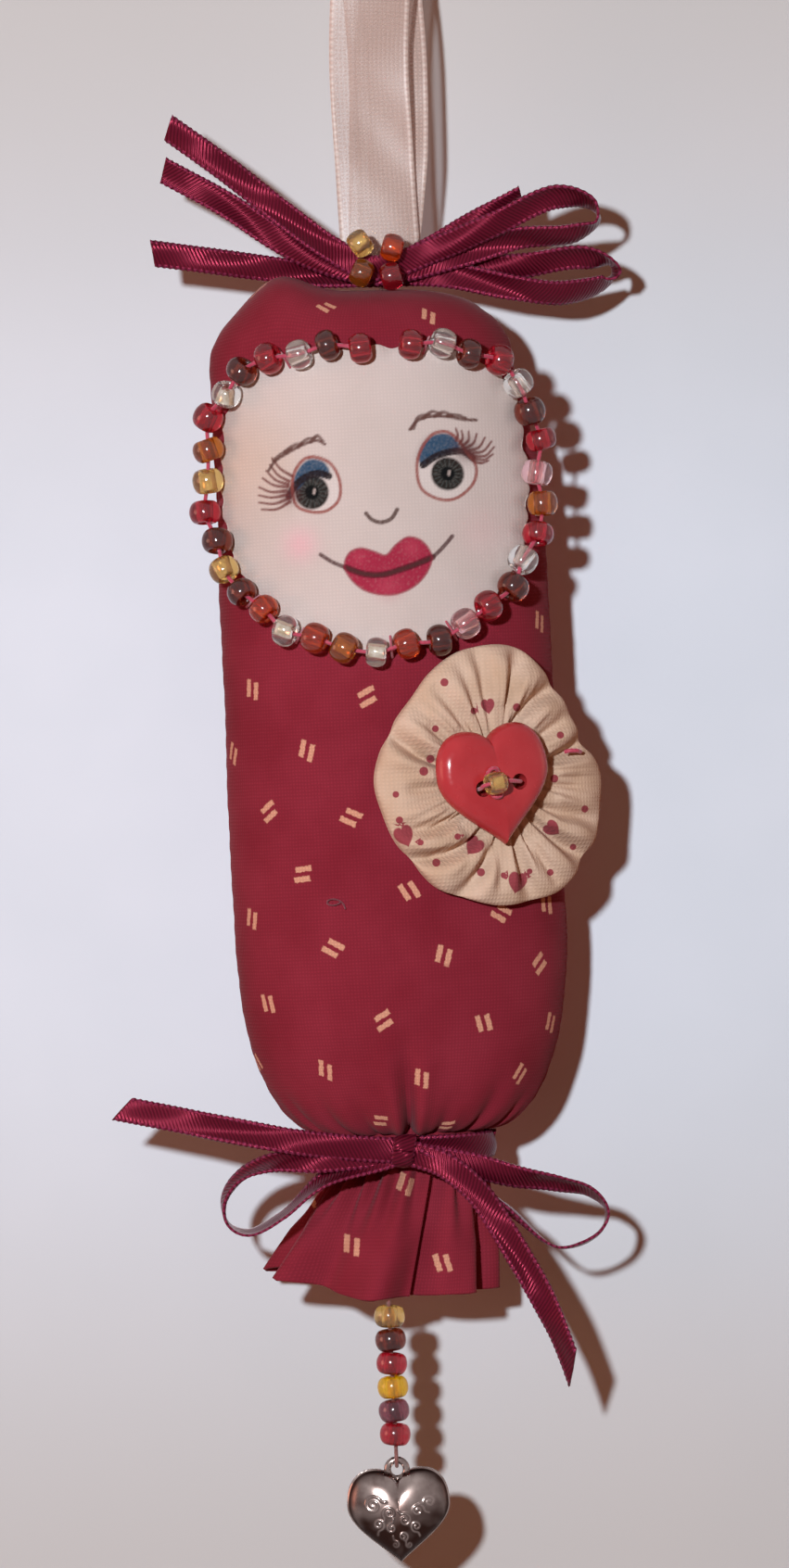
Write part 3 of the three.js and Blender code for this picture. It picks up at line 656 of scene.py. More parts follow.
def antiqued_silver():
    """Antiqued silver plate: bright where it is rubbed, dark where tarnish stays round the scrolls and where
    a dark reflection is painted.
    """
    material, tree, shader = new_material("antiqued_silver", "#7C6761", Roughness=0.16, Metallic=1.0)
    patina_and_painted_reflection = add_node(tree, "ShaderNodeAttribute", attribute_name="patina_and_painted_reflection").outputs["Fac"]
    # The dark colour is tarnish in part and a painted dark reflection in part.
    colour = mixed(tree, patina_and_painted_reflection, blotched(tree, "#74605A", "#AC9890", 2.5), "#33201B")
    wire(tree, shader, Base_Color=colour, Roughness=ranged(tree, patina_and_painted_reflection, 0.0, 1.0, 0.14, 0.42))
    return material


def sewing_thread(name, colour):
    """Twisted polyester thread: a soft sheen, with the twist showing as a fine ripple."""
    material, tree, shader = new_material(name, colour, Roughness=0.6, Sheen_Weight=0.3)
    place = add_node(tree, "ShaderNodeTexCoord").outputs["Object"]
    relief(tree, shader, wave(tree, place, 0.3 * MM, "DIAGONAL", 2.0), 0.6, 0.06)
    return material


COTTON = printed_cotton()
MUSLIN = drawn_muslin()
CALICO = heart_calico()
SATIN = satin_ribbon()
ORGANZA = sheer_organza()
RESIN = button_resin()
SILVER = antiqued_silver()
LINING = silver_lining()
PINK_THREAD = sewing_thread("pink_thread", "#B0354E")
DARK_THREAD = sewing_thread("dark_thread", "#5A0F20")
STRAND_THREAD = sewing_thread("strand_thread", "#7C4A44")
# Bead glass: colour, and how clear it is
GLASS_COLOURS = {
    "red": ("#BE1C2E", 0.84), "clear": ("#F2EAE2", 0.95), "pink": ("#F0C0C0", 0.92),
    "brown": ("#7E2A16", 0.84), "amber": ("#C26A1C", 0.86), "orange": ("#CC4610", 0.82),
    "gold": ("#E4B96C", 0.9), "yellow": ("#F0BE0A", 0.78), "plum": ("#8E4654", 0.85),
}
GLASS = {name: glass(name, *look) for name, look in GLASS_COLOURS.items()}


def lay_motifs(mesh, name, places, motifs):
    """Stores each point's place in the nearest printed motif: across it, along it, its kind, and 1 within its
    reach. A motif is x, z, its lean from upright in degrees, its size and its kind."""
    motifs = np.array(motifs, float)
    offsets = places[:, None, :] - motifs[None, :, :2]
    nearest = (np.linalg.norm(offsets, axis=2) / motifs[:, 3]).argmin(1)
    own = offsets[np.arange(len(places)), nearest]
    lean = np.radians(motifs[nearest, 2])
    size = motifs[nearest, 3]
    across = (own[:, 0] * np.cos(lean) - own[:, 1] * np.sin(lean)) / size
    along = (own[:, 0] * np.sin(lean) + own[:, 1] * np.cos(lean)) / size
    near = np.linalg.norm(own, axis=1) < MOTIF_REACH * size
    store(mesh, name, np.column_stack([across, along, motifs[nearest, 4], near]))


# Shape of the stuffed body


def girth(z):
    """Half width and half depth of the body at each height."""
    crown = clamped((z - SHOULDER_Z) / CROWN_HEIGHT)
    base = clamped((BELLY_Z - z) / BASE_HEIGHT)
    crown_share = (1 - crown**CROWN_ROUNDNESS) ** (1 / CROWN_ROUNDNESS)
    base_share = (1 - base**BASE_ROUNDNESS) ** (1 / BASE_ROUNDNESS)
    side = np.interp(z, [BELLY_Z, SHOULDER_Z], [BELLY_HALF_WIDTH, SHOULDER_HALF_WIDTH])
    widths = side, BELLY_HALF_WIDTH, NECK_HALF_WIDTH
    depths = BODY_HALF_DEPTH, BODY_HALF_DEPTH, NECK_HALF_DEPTH
    return [
        np.where(z > BELLY_Z, upper * crown_share, neck + (belly - neck) * base_share)
        for upper, belly, neck in (widths, depths)
    ]


def front(x, z, distance):
    """Points at a distance outside the body's front, over places seen from the front."""
    x, z = np.broadcast_arrays(np.asarray(x, float), np.asarray(z, float))
    width, depth = girth(z)
    across = (x - BODY_X) / (width + distance)
    return np.stack([x, -(depth + distance) * np.sqrt(clamped(1 - across**2)), z], axis=-1)


def face_reach(turn):
    """How far the face reaches from its middle at an angle. It is round below and squarer above."""
    roundness = np.where(np.sin(turn) > 0, FACE_TOP_ROUNDNESS, FACE_BOTTOM_ROUNDNESS)
    across, up = np.abs(np.cos(turn)) / FACE_HALF_WIDTH, np.abs(np.sin(turn)) / FACE_HALF_HEIGHT
    return (across**roundness + up**roundness) ** (-1 / roundness)


def body_rows():
    """Heights of the body's rings, close together where it curves."""
    bend = np.linspace(0, math.pi / 2, 40)
    crown = SHOULDER_Z + CROWN_HEIGHT * np.cos(bend) ** (2 / CROWN_ROUNDNESS)
    side = np.linspace(SHOULDER_Z, BELLY_Z, 110)[1:]
    base = BELLY_Z - BASE_HEIGHT * np.sin(bend[1:]) ** (2 / BASE_ROUNDNESS)
    neck = np.linspace(NECK_Z, TIE_Z, 5)[1:]
    return np.concatenate([crown, side, base, neck])


RING_TURNS = np.linspace(0, math.pi, 721)
RING_STEPS = np.hypot(BELLY_HALF_WIDTH * np.cos(RING_TURNS), BODY_HALF_DEPTH * np.sin(RING_TURNS))
RING_MEANS = (RING_STEPS[1:] + RING_STEPS[:-1]) / 2
RING_LENGTHS = np.concatenate([[0], np.cumsum(RING_MEANS * np.diff(RING_TURNS))])
BODY_ROUND = 2 * RING_LENGTHS[-1]


def round_the_body(angle):
    """Distance along the cloth from the middle of the front, at each angle."""
    turn = (angle + 1.5 * math.pi) % (2 * math.pi) - math.pi
    return np.sign(turn) * np.interp(np.abs(turn), RING_TURNS, RING_LENGTHS)


# Pairs of dashes on the front, as x, z and the lean from upright
FRONT_DASHES = [
    (-19.0, -96.8, 5), (-4.6, -98.5, 63), (-21.8, -104.7, 20), (-12.4, -104.8, 15), (-17.6, -112.2, 55),
    (-7.3, -113.4, -65), (-13.7, -120.2, 85), (-0.5, -122.9, -30), (-20.5, -125.6, 10), (10.9, -126.3, -60),
    (-10.4, -129.6, -60), (3.4, -131.2, 15), (15.4, -132.9, 45), (-19.0, -136.3, -8), (-4.5, -138.9, 60),
    (8.0, -139.9, -20), (16.5, -140.5, 5), (-20.7, -143.8, -30), (-12.1, -144.9, 15), (-0.1, -146.4, 3),
    (12.2, -146.6, 25), (-5.5, -151.6, -80), (2.8, -152.7, 70), (16.7, -125.5, 0), (-7.3, -49.9, -65),
    (5.6, -51.2, 25), (-15.5, -48.6, 35), (14.4, -98.0, 40), (17.6, -90.0, 10),
]
FRONT_REACH = 30
PRINT_PITCH = 10.5
PRINT_SHAKE = 2
PRINT_LEAN = 80


def dash_motifs(height_along):
    """Every pair of dashes as a motif on the cloth: the front as seen, the rest in a shaken lattice."""
    motifs = []
    for x, z, lean in FRONT_DASHES:
        width, _ = girth(np.array(z))
        angle = -math.acos(np.clip((x - BODY_X) / float(width), -0.995, 0.995))
        motifs.append((float(round_the_body(np.array(angle))), float(height_along(z)), lean, 1, 0))
    shake = np.random.default_rng(5)
    for row, height in enumerate(np.arange(TIE_Z - 4, CROWN_Z + 20, PRINT_PITCH)):
        for place in np.arange(FRONT_REACH, BODY_ROUND - FRONT_REACH, PRINT_PITCH):
            u = place + shake.uniform(-PRINT_SHAKE, PRINT_SHAKE) + (row % 2) * PRINT_PITCH / 2
            if u < BODY_ROUND - FRONT_REACH:
                u = u if u < BODY_ROUND / 2 else u - BODY_ROUND
                level = height + shake.uniform(-PRINT_SHAKE, PRINT_SHAKE)
                motifs.append((u, level, shake.uniform(-PRINT_LEAN, PRINT_LEAN), 1, 0))
    return motifs


# Creases above the tie: angle round the body, reach up from the neck, depth and width
GATHER_CREASES = [
    (-90, 14, 2.4, 1.0), (-72, 6, 0.7, 0.9), (-113, 6, 0.6, 0.9), (-50, 9, 0.8, 1.2), (-131, 8, 0.7, 1.2),
    (-28, 6, 0.6, 1.0), (-152, 7, 0.6, 1.0), (-5, 9, 0.8, 1.1), (176, 8, 0.8, 1.1), (150, 7, 0.8, 1.0),
    (122, 10, 1.1, 1.1), (97, 7, 0.8, 0.9), (70, 12, 1.3, 1.1), (44, 7, 0.8, 1.0), (20, 8, 0.8, 1.0),
]


def stuffed_body():
    heights = body_rows()
    mesh = mesh_of(spun([(1, z) for z in heights], BODY_SIDES), "stuffed_body")
    places = points_of(mesh)
    angle, z = angle_of(places), places[:, 2]
    width, depth = girth(z)
    base = np.column_stack([BODY_X + width * np.cos(angle), depth * np.sin(angle), z])
    steps = lengths_along(np.column_stack([girth(heights)[0], heights]))
    lengths = BELLY_Z + np.interp(-BELLY_Z, -heights, steps) - steps[::-1]

    def height_along(level):
        return np.interp(level, heights[::-1], lengths)

    outward = base - np.array([BODY_X, 0, 0])
    outward[:, 0] /= np.maximum(width, 1) ** 2
    outward[:, 1] /= np.maximum(depth, 1) ** 2
    outward[:, 2] = (np.maximum(z - SHOULDER_Z, 0) / CROWN_HEIGHT) ** 2 * CROWN_TILT
    outward[:, 2] -= (np.maximum(BELLY_Z - z, 0) / BASE_HEIGHT) ** 3 * BASE_TILT
    outward /= np.maximum(np.linalg.norm(outward, axis=1), 1e-6)[:, None]

    lift = sum(height * ripple(base, size, seed) for height, size, seed in FILL_LUMPS)
    lift *= clamped((CROWN_Z - z) / FLAT_TOP)
    off_seam = np.abs(base[:, 1])
    lift -= SEAM_DEPTH * bell(off_seam / SEAM_WIDTH)
    lift += PUCKER_HEIGHT * bell(off_seam / PUCKER_REACH) * np.sin(2 * math.pi * z / PUCKER_PITCH)
    for lean, reach, deep, wide in GATHER_CREASES:
        near = clamped((NECK_Z + reach - z) / reach)
        off_crease = np.abs(wrapped(angle - math.radians(lean))) * width
        wide_here = wide * (0.5 + 0.9 * (1 - near))
        lift -= deep * near**1.4 * bell(off_crease / wide_here)
        off_ridge = (off_crease - 2.4 * wide_here) / (RIDGE_WIDTH * wide_here)
        lift += RIDGE_SHARE * deep * near**1.2 * bell(off_ridge)
    from_face = base[:, [0, 2]] - (FACE_X, FACE_Z)
    ring = np.linalg.norm(from_face, axis=1) / face_reach(angle_of(from_face))
    groove = GROOVE_DEPTH * bell((ring - GROOVE_RING) * FACE_RADIUS / GROOVE_WIDTH)
    lift -= np.where(base[:, 1] < 0, groove, 0)
    lift *= np.where(z < NECK_Z, BOUND_SHARE, 1)

    cloth = np.column_stack([round_the_body(angle), height_along(z)])
    lay_uv(mesh, cloth, BODY_ROUND)
    lay_motifs(mesh, "dashes", cloth, dash_motifs(height_along))
    shape = base + outward * lift[:, None]
    slope = np.interp(z, [SHOULDER_Z - 12, SHOULDER_Z, CROWN_Z - 3, CROWN_Z], [0, 1, 1, 0.4])
    shape[:, 0] -= RIGHT_SLOPE * slope * clamped(np.cos(angle)) ** 3
    crown = clamped((z - SHOULDER_Z) / CROWN_HEIGHT)
    shape[:, 2] += LEFT_RISE * crown**1.3 * bell((base[:, 0] - LEFT_RISE_X) / LEFT_RISE_REACH)
    reshaped(mesh, shape)
    body = piece("stuffed_body", mesh, COTTON, "body_front_panel", "body_back_panel", "fibre_filling")


stuffed_body()

# Ruffle: the open end of the cloth tube, gathered under the tie
RUFFLE_TOP = TIE_Z - GAP / 2
WRAP_BOTTOM = TIE_Z - SATIN_WIDTH / 2 - GAP
HEM_Z = node_box("tail_ruffle")[0][2]
HEM_HALF_WIDTH = 13.4
HEM_HALF_DEPTH = 8.2
HEM_LEAN = -4.4
HEM_RISE = 4
FLUTES = 7
FLUTE_DEPTH = 2
FLUTE_CREST = math.radians(-98)
PLEAT_ANGLE = math.radians(-74)
GATHERS = 22
GATHER_IN = 0.75
RUFFLE_DASHES = [(-9.9, -167.2, 5), (1.4, -169.9, -15), (-2.8, -159.9, 20), (-15.4, -161.9, 70)]
RUFFLE_SIDES = 420
PLEAT_DEPTH = 1.5
PLEAT_BEFORE = 0.22
PLEAT_PAST = 0.16
SMALL_FLUTES = 13
SMALL_FLUTE_DEPTH = 0.6
BACK_DEPTH = 0.35
GATHER_PLACE = 0.12
GATHER_REACH = 0.5
# Puts what faces away out of reach of the motifs in front
ASIDE = 200


def ruffle():
    wrap_share = (RUFFLE_TOP - WRAP_BOTTOM) / (HEM_Z - WRAP_BOTTOM)
    drops = np.concatenate([np.linspace(wrap_share, 0, 4)[:-1], np.linspace(0, 1, 56)])
    mesh = mesh_of(spun([(1, drop) for drop in drops], RUFFLE_SIDES), "ruffle")
    places = points_of(mesh)
    angle, drop = angle_of(places), places[:, 2]
    grow = clamped(drop)
    deeper = 1 + BACK_DEPTH * clamped(np.sin(angle))
    flute = FLUTE_DEPTH * grow * np.cos(FLUTES * (angle - FLUTE_CREST)) * deeper
    past = wrapped(angle - PLEAT_ANGLE)
    pleat = np.where(past < 0, bell(past / PLEAT_BEFORE), -bell(past / PLEAT_PAST))
    flute += PLEAT_DEPTH * grow**0.7 * pleat
    flute += SMALL_FLUTE_DEPTH * grow * np.cos(SMALL_FLUTES * angle + 2 * grow)
    bunched = GATHER_IN * clamped(1 - np.abs(drop - GATHER_PLACE) / GATHER_REACH)
    flute -= bunched * (1 + np.cos(GATHERS * angle + 0.5 * np.sin(3 * angle)))
    spread = grow**0.8
    width = NECK_HALF_WIDTH + (HEM_HALF_WIDTH - NECK_HALF_WIDTH) * spread + flute
    depth = NECK_HALF_DEPTH + (HEM_HALF_DEPTH - NECK_HALF_DEPTH) * spread + flute
    x = BODY_X + HEM_LEAN * grow + width * np.cos(angle)
    y = depth * np.sin(angle)
    rise = HEM_RISE * grow * np.maximum(-np.cos(angle), 0) ** 2
    z = WRAP_BOTTOM + (HEM_Z - WRAP_BOTTOM) * drop + rise
    lay_uv(mesh, np.column_stack([round_the_body(angle), z]), BODY_ROUND)
    motifs = []
    for dash_x, dash_z, lean in RUFFLE_DASHES:
        motifs += [(dash_x, dash_z, lean, 1, 0), (dash_x + ASIDE, dash_z, 40 - lean, 1, 0)]
    lay_motifs(mesh, "dashes", np.column_stack([np.where(y < 0, x, x + ASIDE), z]), motifs)
    set_points(mesh, np.column_stack([x, y, z]))
    return thickened(piece("ruffle", mesh, COTTON, "tail_ruffle"), HEM_THICKNESS, offset=-1)


RUFFLE = ruffle()


# Face patch, with the drawn face


def segments_near(path, places):
    """Least distance of each place from a line of points, and how far along the line that is, from 0 to 1."""
    starts, steps = path[:-1], np.diff(path, axis=0)
    offsets = places[:, None, :] - starts[None]
    share = clamped((offsets * steps).sum(2) / np.maximum((steps**2).sum(1), 1e-9))
    distances = np.linalg.norm(offsets - share[..., None] * steps, axis=2)
    nearest = distances.argmin(1)
    rows = np.arange(len(places))
    return distances[rows, nearest], (nearest + share[rows, nearest]) / len(steps)


def within(path, places):
    """Whether each place lies inside a closed outline."""
    inside = np.zeros(len(places), bool)
    for (x1, z1), (x2, z2) in zip(path, np.roll(path, -1, axis=0)):
        if z1 != z2:
            crosses = (z1 > places[:, 1]) != (z2 > places[:, 1])
            inside ^= crosses & (places[:, 0] < (x2 - x1) * (places[:, 1] - z1) / (z2 - z1) + x1)
    return inside


class Drawing:
    """Ink on cloth: each mark covers a share of what is under it. Places are from the face's middle."""

    def __init__(self, places):
        self.places = places
        self.ground = np.array(linear("#C9BAB4")[:3])
        self.colour = np.tile(self.ground, (len(places), 1))
        self.grain = 0.9 + 0.16 * ripple(np.column_stack([places * 3.2, np.zeros(len(places))]), 1, 3)

    def cover(self, amount, colour):
        amount = clamped(amount * self.grain)[:, None]
        self.colour = self.colour * (1 - amount) + np.array(linear(colour)[:3]) * amount

    def distance(self, centre):
        return np.linalg.norm(self.places - np.array(centre), axis=1)

    def stroke(self, points, width, colour, strength, taper=0.0, closed=False):
        path = smooth_line(points, 6, closed)
        if closed:
            path = np.concatenate([path, path[:1]])
        low, high = path.min(0) - 1, path.max(0) + 1
        close = ((self.places > low) & (self.places < high)).all(1)
        amount = np.zeros(len(self.places))
        distance, along = segments_near(path, self.places[close])
        half = width / 2 * (1 - taper * along)
        amount[close] = strength * clamped((half + 0.09 - distance) / 0.14)
        self.cover(amount, colour)

    def fill(self, points, colour, strength, soft):
        path = smooth_line(points, 6, closed=True)
        distance, _ = segments_near(np.concatenate([path, path[:1]]), self.places)
        signed = np.where(within(path, self.places), distance, -distance)
        self.cover(strength * clamped(signed / soft + 0.5), colour)

    def disc(self, centre, radius, colour, strength, soft):
        self.cover(strength * clamped((radius - self.distance(centre)) / soft + 0.5), colour)

    def glow(self, centre, radius, colour, strength):
        self.cover(strength * bell(self.distance(centre) / radius), colour)


# Marks of the drawing
PENCIL = "#8E4A42"
BROW = "#5C3C36"
MARKER = "#4A302A"
LEFT_EYE = {
    "outline": [
        (-10.2, 2.6), (-9.8, -0.3), (-8.1, -1.2), (-6.1, -1.2), (-4.5, 0.1), (-4.3, 2.5), (-5.5, 4.8),
        (-8.0, 5.6), (-9.4, 4.6),
    ],
    "lid": [
        (-10.3, 1.9), (-9.4, 4.1), (-8.0, 5.3), (-6.2, 4.9), (-5.5, 3.6), (-6.1, 3.0), (-7.9, 3.3),
        (-9.6, 1.7),
    ],
    "lid_edge": [(-10.7, 0.9), (-10.0, 2.0), (-8.6, 3.1), (-6.8, 3.5), (-5.6, 3.1)],
    "iris": (-7.8, 1.2), "glint": (-7.5, 1.3), "radius": 2.1,
}
RIGHT_EYE = {
    "outline": [
        (5.9, 5.6), (5.4, 3.4), (5.9, 0.9), (8.3, -0.5), (10.3, -0.3), (12.4, 1.5), (12.8, 3.5),
        (11.7, 5.3), (10.9, 6.7), (9.4, 7.9), (7.6, 7.7),
    ],
    "lid": [
        (5.6, 4.6), (6.4, 6.7), (8.3, 7.7), (10.0, 7.4), (10.9, 5.8), (9.7, 5.3), (7.9, 4.8), (6.3, 3.9),
    ],
    "lid_edge": [(6.2, 3.9), (7.8, 4.9), (9.6, 5.4), (11.3, 5.4), (12.4, 4.6)],
    "iris": (9.2, 2.7), "glint": (9.4, 2.8), "radius": 2.05,
}
LASHES = [
    [(-10.2, 3.4), (-11.6, 4.4), (-12.6, 5.8)], [(-10.6, 2.8), (-11.9, 3.6), (-12.9, 5.0)],
    [(-10.7, 2.4), (-12.2, 3.0), (-13.4, 4.3)], [(-10.8, 2.1), (-12.5, 2.4), (-13.9, 3.4)],
    [(-11.0, 1.6), (-12.9, 1.6), (-14.4, 2.3)], [(-10.9, 1.1), (-12.9, 0.9), (-14.5, 1.3)],
    [(-10.8, 0.6), (-12.6, 0.1), (-14.5, 0.4)], [(-10.6, 0.2), (-12.3, -0.6), (-14.2, -0.5)],
    [(10.5, 6.9), (10.7, 7.5), (10.5, 8.3)], [(10.9, 6.4), (11.3, 7.1), (11.2, 8.0)],
    [(11.2, 6.1), (12.0, 6.8), (12.1, 7.9)], [(11.5, 5.8), (12.6, 6.4), (13.1, 7.6)],
    [(11.9, 5.5), (13.3, 5.9), (14.1, 7.1)], [(12.2, 5.2), (13.8, 5.4), (14.9, 6.6)],
    [(12.4, 4.9), (14.0, 4.8), (15.2, 5.9)], [(12.5, 4.6), (13.8, 4.3), (15.0, 5.0)],
    [(12.4, 4.3), (13.4, 3.9), (14.4, 4.2)],
]
LEFT_BROW = [(-13.1, 4.3), (-12.2, 5.4), (-10.6, 6.3), (-8.6, 7.2), (-6.8, 7.6), (-5.9, 7.1)]
RIGHT_BROW = [(4.8, 8.4), (5.7, 9.4), (7.2, 9.9), (9.7, 9.8), (11.7, 9.4), (13.1, 9.3)]
BROW_HAIRS = [
    [(-12.4, 5.5), (-11.3, 6.3), (-10.0, 6.8)], [(-10.9, 6.5), (-9.8, 7.2), (-8.7, 7.4)],
    [(-9.2, 7.0), (-8.2, 7.8), (-7.0, 8.0)], [(-7.6, 7.5), (-6.8, 8.2), (-6.1, 7.5)],
    [(5.2, 8.5), (5.9, 9.9), (7.3, 10.2)], [(6.5, 9.7), (7.6, 10.5), (8.7, 10.2)],
    [(7.9, 9.9), (9.0, 10.4), (10.1, 10.0)], [(9.5, 9.9), (10.7, 10.0), (11.8, 9.6)],
]
NOSE = [(-1.2, -1.8), (-0.5, -2.6), (0.6, -3.0), (1.9, -2.6), (2.7, -1.5)]
LIPS = [
    (-4.2, -8.2), (-3.5, -6.6), (-2.1, -6.1), (-0.4, -6.6), (1.0, -7.1), (2.3, -5.9), (3.9, -5.0),
    (5.5, -5.5), (6.5, -6.8), (6.7, -7.9), (6.0, -9.5), (4.7, -10.9), (2.6, -11.9), (0.4, -12.0),
    (-1.9, -11.3), (-3.5, -9.8),
]
MOUTH = [
    (-7.1, -6.6), (-5.7, -7.6), (-4.0, -8.4), (-1.8, -9.3), (0.5, -9.5), (2.7, -9.0), (5.0, -8.3),
    (6.8, -7.6), (8.2, -6.4), (9.4, -5.1),
]


def draw_eye(drawing, outline, lid, lid_edge, iris, glint, radius):
    iris, glint = np.array(iris), np.array(glint)
    drawing.fill(outline, "#D8CECA", 0.5, 0.3)
    drawing.disc(iris, radius, "#27221F", 1.12, 0.3)
    for ray in on_circle(np.radians(np.arange(0, 360, 20))):
        drawing.stroke([iris + ray * radius * 0.45, iris + ray * radius * 0.85], 0.1, "#66706E", 0.35)
    drawing.disc(iris, radius * 0.42, "#0E1011", 1.12, 0.25)
    drawing.fill(lid, "#31506C", 1.05, 0.3)
    drawing.fill(lid, "#26384C", 0.35, 1.5)
    drawing.stroke(lid_edge, 0.85, "#241C1F", 1.05)
    drawing.stroke([glint + np.array((-0.04, -0.2)), glint + np.array((0.04, 0.2))], 0.32, "#B4A49E", 0.9)
    drawing.stroke(outline, 0.36, PENCIL, 0.95, closed=True)


def draw_face(places):
    """What the drawing takes from the light, as a colour at each place."""
    drawing = Drawing(places)
    drawing.glow((-9.6, -5.2), 2.1, "#EBA2B0", 0.5)
    drawing.glow((13.0, -4.6), 3.0, "#E0A8AC", 0.2)
    drawing.glow((-15.5, 5), 6, "#D8AE8C", 0.3)
    draw_eye(drawing, **LEFT_EYE)
    draw_eye(drawing, **RIGHT_EYE)
    for lash in LASHES:
        drawing.stroke(lash, 0.38, "#6E3A36", 0.95, taper=0.45)
    drawing.glow((-10.6, 1.0), 1.15, "#5A2E30", 0.8)
    drawing.glow((11.6, 5.6), 1.4, "#4E2A2C", 0.8)
    drawing.stroke(LEFT_BROW, 0.34, BROW, 0.95)
    drawing.stroke(RIGHT_BROW, 0.36, BROW, 1.0)
    for hair in BROW_HAIRS:
        drawing.stroke(hair, 0.44, BROW, 0.9, taper=0.3)
    drawing.stroke(NOSE, 0.46, MARKER, 0.95)
    drawing.fill(LIPS, "#9E2A42", 1.12, 0.3)
    drawing.glow((4.2, -6.4), 1.1, "#BE4A5E", 0.5)
    drawing.glow((-2.4, -7.2), 0.9, "#BE4A5E", 0.4)
    drawing.glow((1.2, -10.8), 1.6, "#BC4A5E", 0.5)
    for share in np.linspace(0, 1, 14):
        top = np.array((-3.2 + 9.2 * share, -7.2 - 1.2 * math.sin(math.pi * share)))
        drawing.stroke([top, top + (0.2, -1.2), top + (0.1, -2.4)], 0.1, "#93283F", 0.45)
    drawing.stroke(MOUTH[2:8], 0.8, "#561624", 0.9)
    drawing.stroke(MOUTH, 0.46, "#4C2C2C", 0.93)
    drawing.stroke(LIPS, 0.22, "#8A2038", 0.7, closed=True)
    return drawing.colour / drawing.ground


def faced_front(bm):
    bmesh.ops.recalc_face_normals(bm, faces=bm.faces)
    if sum(face.normal.y for face in bm.faces) > 0:
        bmesh.ops.reverse_faces(bm, faces=bm.faces)


def face_patch():
    bm = bmesh.new()
    bmesh.ops.create_grid(bm, x_segments=FACE_COLUMNS, y_segments=FACE_ROWS, size=1)
    rim = [edge for edge in bm.edges if edge.is_boundary]
    for turned in bmesh.ops.extrude_edge_only(bm, edges=rim)["geom"]:
        if isinstance(turned, bmesh.types.BMVert):
            turned.co.z = -1
    mesh = mesh_of(bm, "face_patch_cloth")
    square = points_of(mesh)
    x = square[:, 0] * np.sqrt(1 - square[:, 1] ** 2 / 2)
    z = square[:, 1] * np.sqrt(1 - square[:, 0] ** 2 / 2)
    spread, turn = np.hypot(x, z), np.arctan2(z, x)
    pull = EDGE_PULL * np.sin(FACE_STITCHES * turn + 0.6) + EDGE_PULL / 2 * np.sin(13 * turn)
    size = 1 + pull * clamped((spread - 0.85) / 0.15)
    places = on_circle(turn) * (spread * size * face_reach(turn))[:, None]
    points = front(FACE_X + places[:, 0], FACE_Z + places[:, 1], FACE_PROUD)
    edge = clamped((spread - 0.9) / 0.1)
    pucker = EDGE_PUCKER * np.sin(FACE_STITCHES * turn) * edge
    lift = FACE_PUFF * (1 - spread**2) + pucker - EDGE_TUCK * edge**2
    lift += 0.08 * ripple(points, 6, 4)
    is_under = square[:, 2] < -0.5
    points[:, 1] -= np.where(is_under, -HEM_TURN, lift)
    lay_uv(mesh, places)
    store(mesh, "drawing", np.column_stack([draw_face(places), np.ones(len(places))]))
    set_points(mesh, points)
    return piece("face_patch_cloth", worked(mesh, faced_front), MUSLIN, "face_patch")


FACE = face_patch()


# Glass beads, each where its node is


def bead_place(node):
    """A bead's centre and the direction of its bore: the one direction in which it isn't round."""
    points = np.unique(np.round(points_of(frame["nodes"][node].data) / MM, 4), axis=0)
    centre = points.mean(0)
    spreads, directions = np.linalg.eigh(np.cov((points - centre).T))
    along = directions[:, 2] if spreads[1] - spreads[0] < spreads[2] - spreads[1] else directions[:, 0]
    return centre, along


def bead(node, colour, lined=False, radius=BEAD_RADIUS, length=BEAD_LENGTH, tilt=0.0):
    """A bead with a bore and rounded lips. It may be lined with silver, and tilts by some degrees."""
    centre, along = bead_place(node)
    middle = BEAD_BORE + BEAD_LIP
    rows = []
    for turn in full_turn(25):
        wall = radius - middle if math.cos(turn) > 0 else BEAD_LIP
        rows.append((middle + wall * math.cos(turn), length / 2 * math.sin(turn)))
    bm = cleaned(spun(rows, 32, closed=True))
    finish = [GLASS[colour]]
    if lined:
        finish.append(LINING)
        for face in bm.faces:
            x, y, _ = face.calc_center_median()
            face.material_index = int(math.hypot(x, y) < BEAD_BORE + LINING_REACH)
    mesh = mesh_of(bm, f"glass_{node}")
    aim = Vector((0, 0, 1)).rotation_difference(Vector(along)).to_matrix().to_4x4()
    turned = Matrix.Rotation(math.radians(tilt), 4, "Y") @ aim
    mesh.transform(Matrix.Translation(Vector(centre)) @ turned)
    piece(f"glass_{node}", mesh, finish, node)


# Face beads from the first on. A star is for a lined one.
FACE_BEADS = """
red clear brown red clear brown red pink amber red clear brown red pink brown orange clear* amber* orange
clear* orange brown gold* brown red gold* amber red clear* brown red clear brown red
""".split()
FACE_NODES = [f"face_bead_{number:02d}" for number in range(1, len(FACE_BEADS) + 1)]
# Lined or not, and the tilt in degrees
CROWN_BEADS = [("gold", True, -32), ("orange", True, 18), ("amber", False, 26), ("red", False, -12)]
STRAND_BEADS = [("gold", 3), ("brown", -6), ("red", 8), ("yellow", -3), ("plum", -7), ("red", 7)]


def beads():
    shake = np.random.default_rng(2)
    for node, word in zip(FACE_NODES, FACE_BEADS):
        bead(
            node, word.strip("*"), word.endswith("*"), radius=BEAD_RADIUS * shake.uniform(0.95, 1.05),
            length=BEAD_LENGTH * shake.uniform(0.92, 1.12), tilt=shake.uniform(-22, 22),
        )
    for number, (word, lined, tilt) in enumerate(CROWN_BEADS, 1):
        bead(f"crown_bead_{number}", word, lined, CROWN_BEAD_RADIUS, CROWN_BEAD_LENGTH, tilt)
    for number, (word, tilt) in enumerate(STRAND_BEADS, 1):
        bead(f"dangle_bead_{number}", word, tilt=tilt)
    bead("button_bead", "gold", True, BUTTON_BEAD_RADIUS, BUTTON_BEAD_LENGTH)


beads()

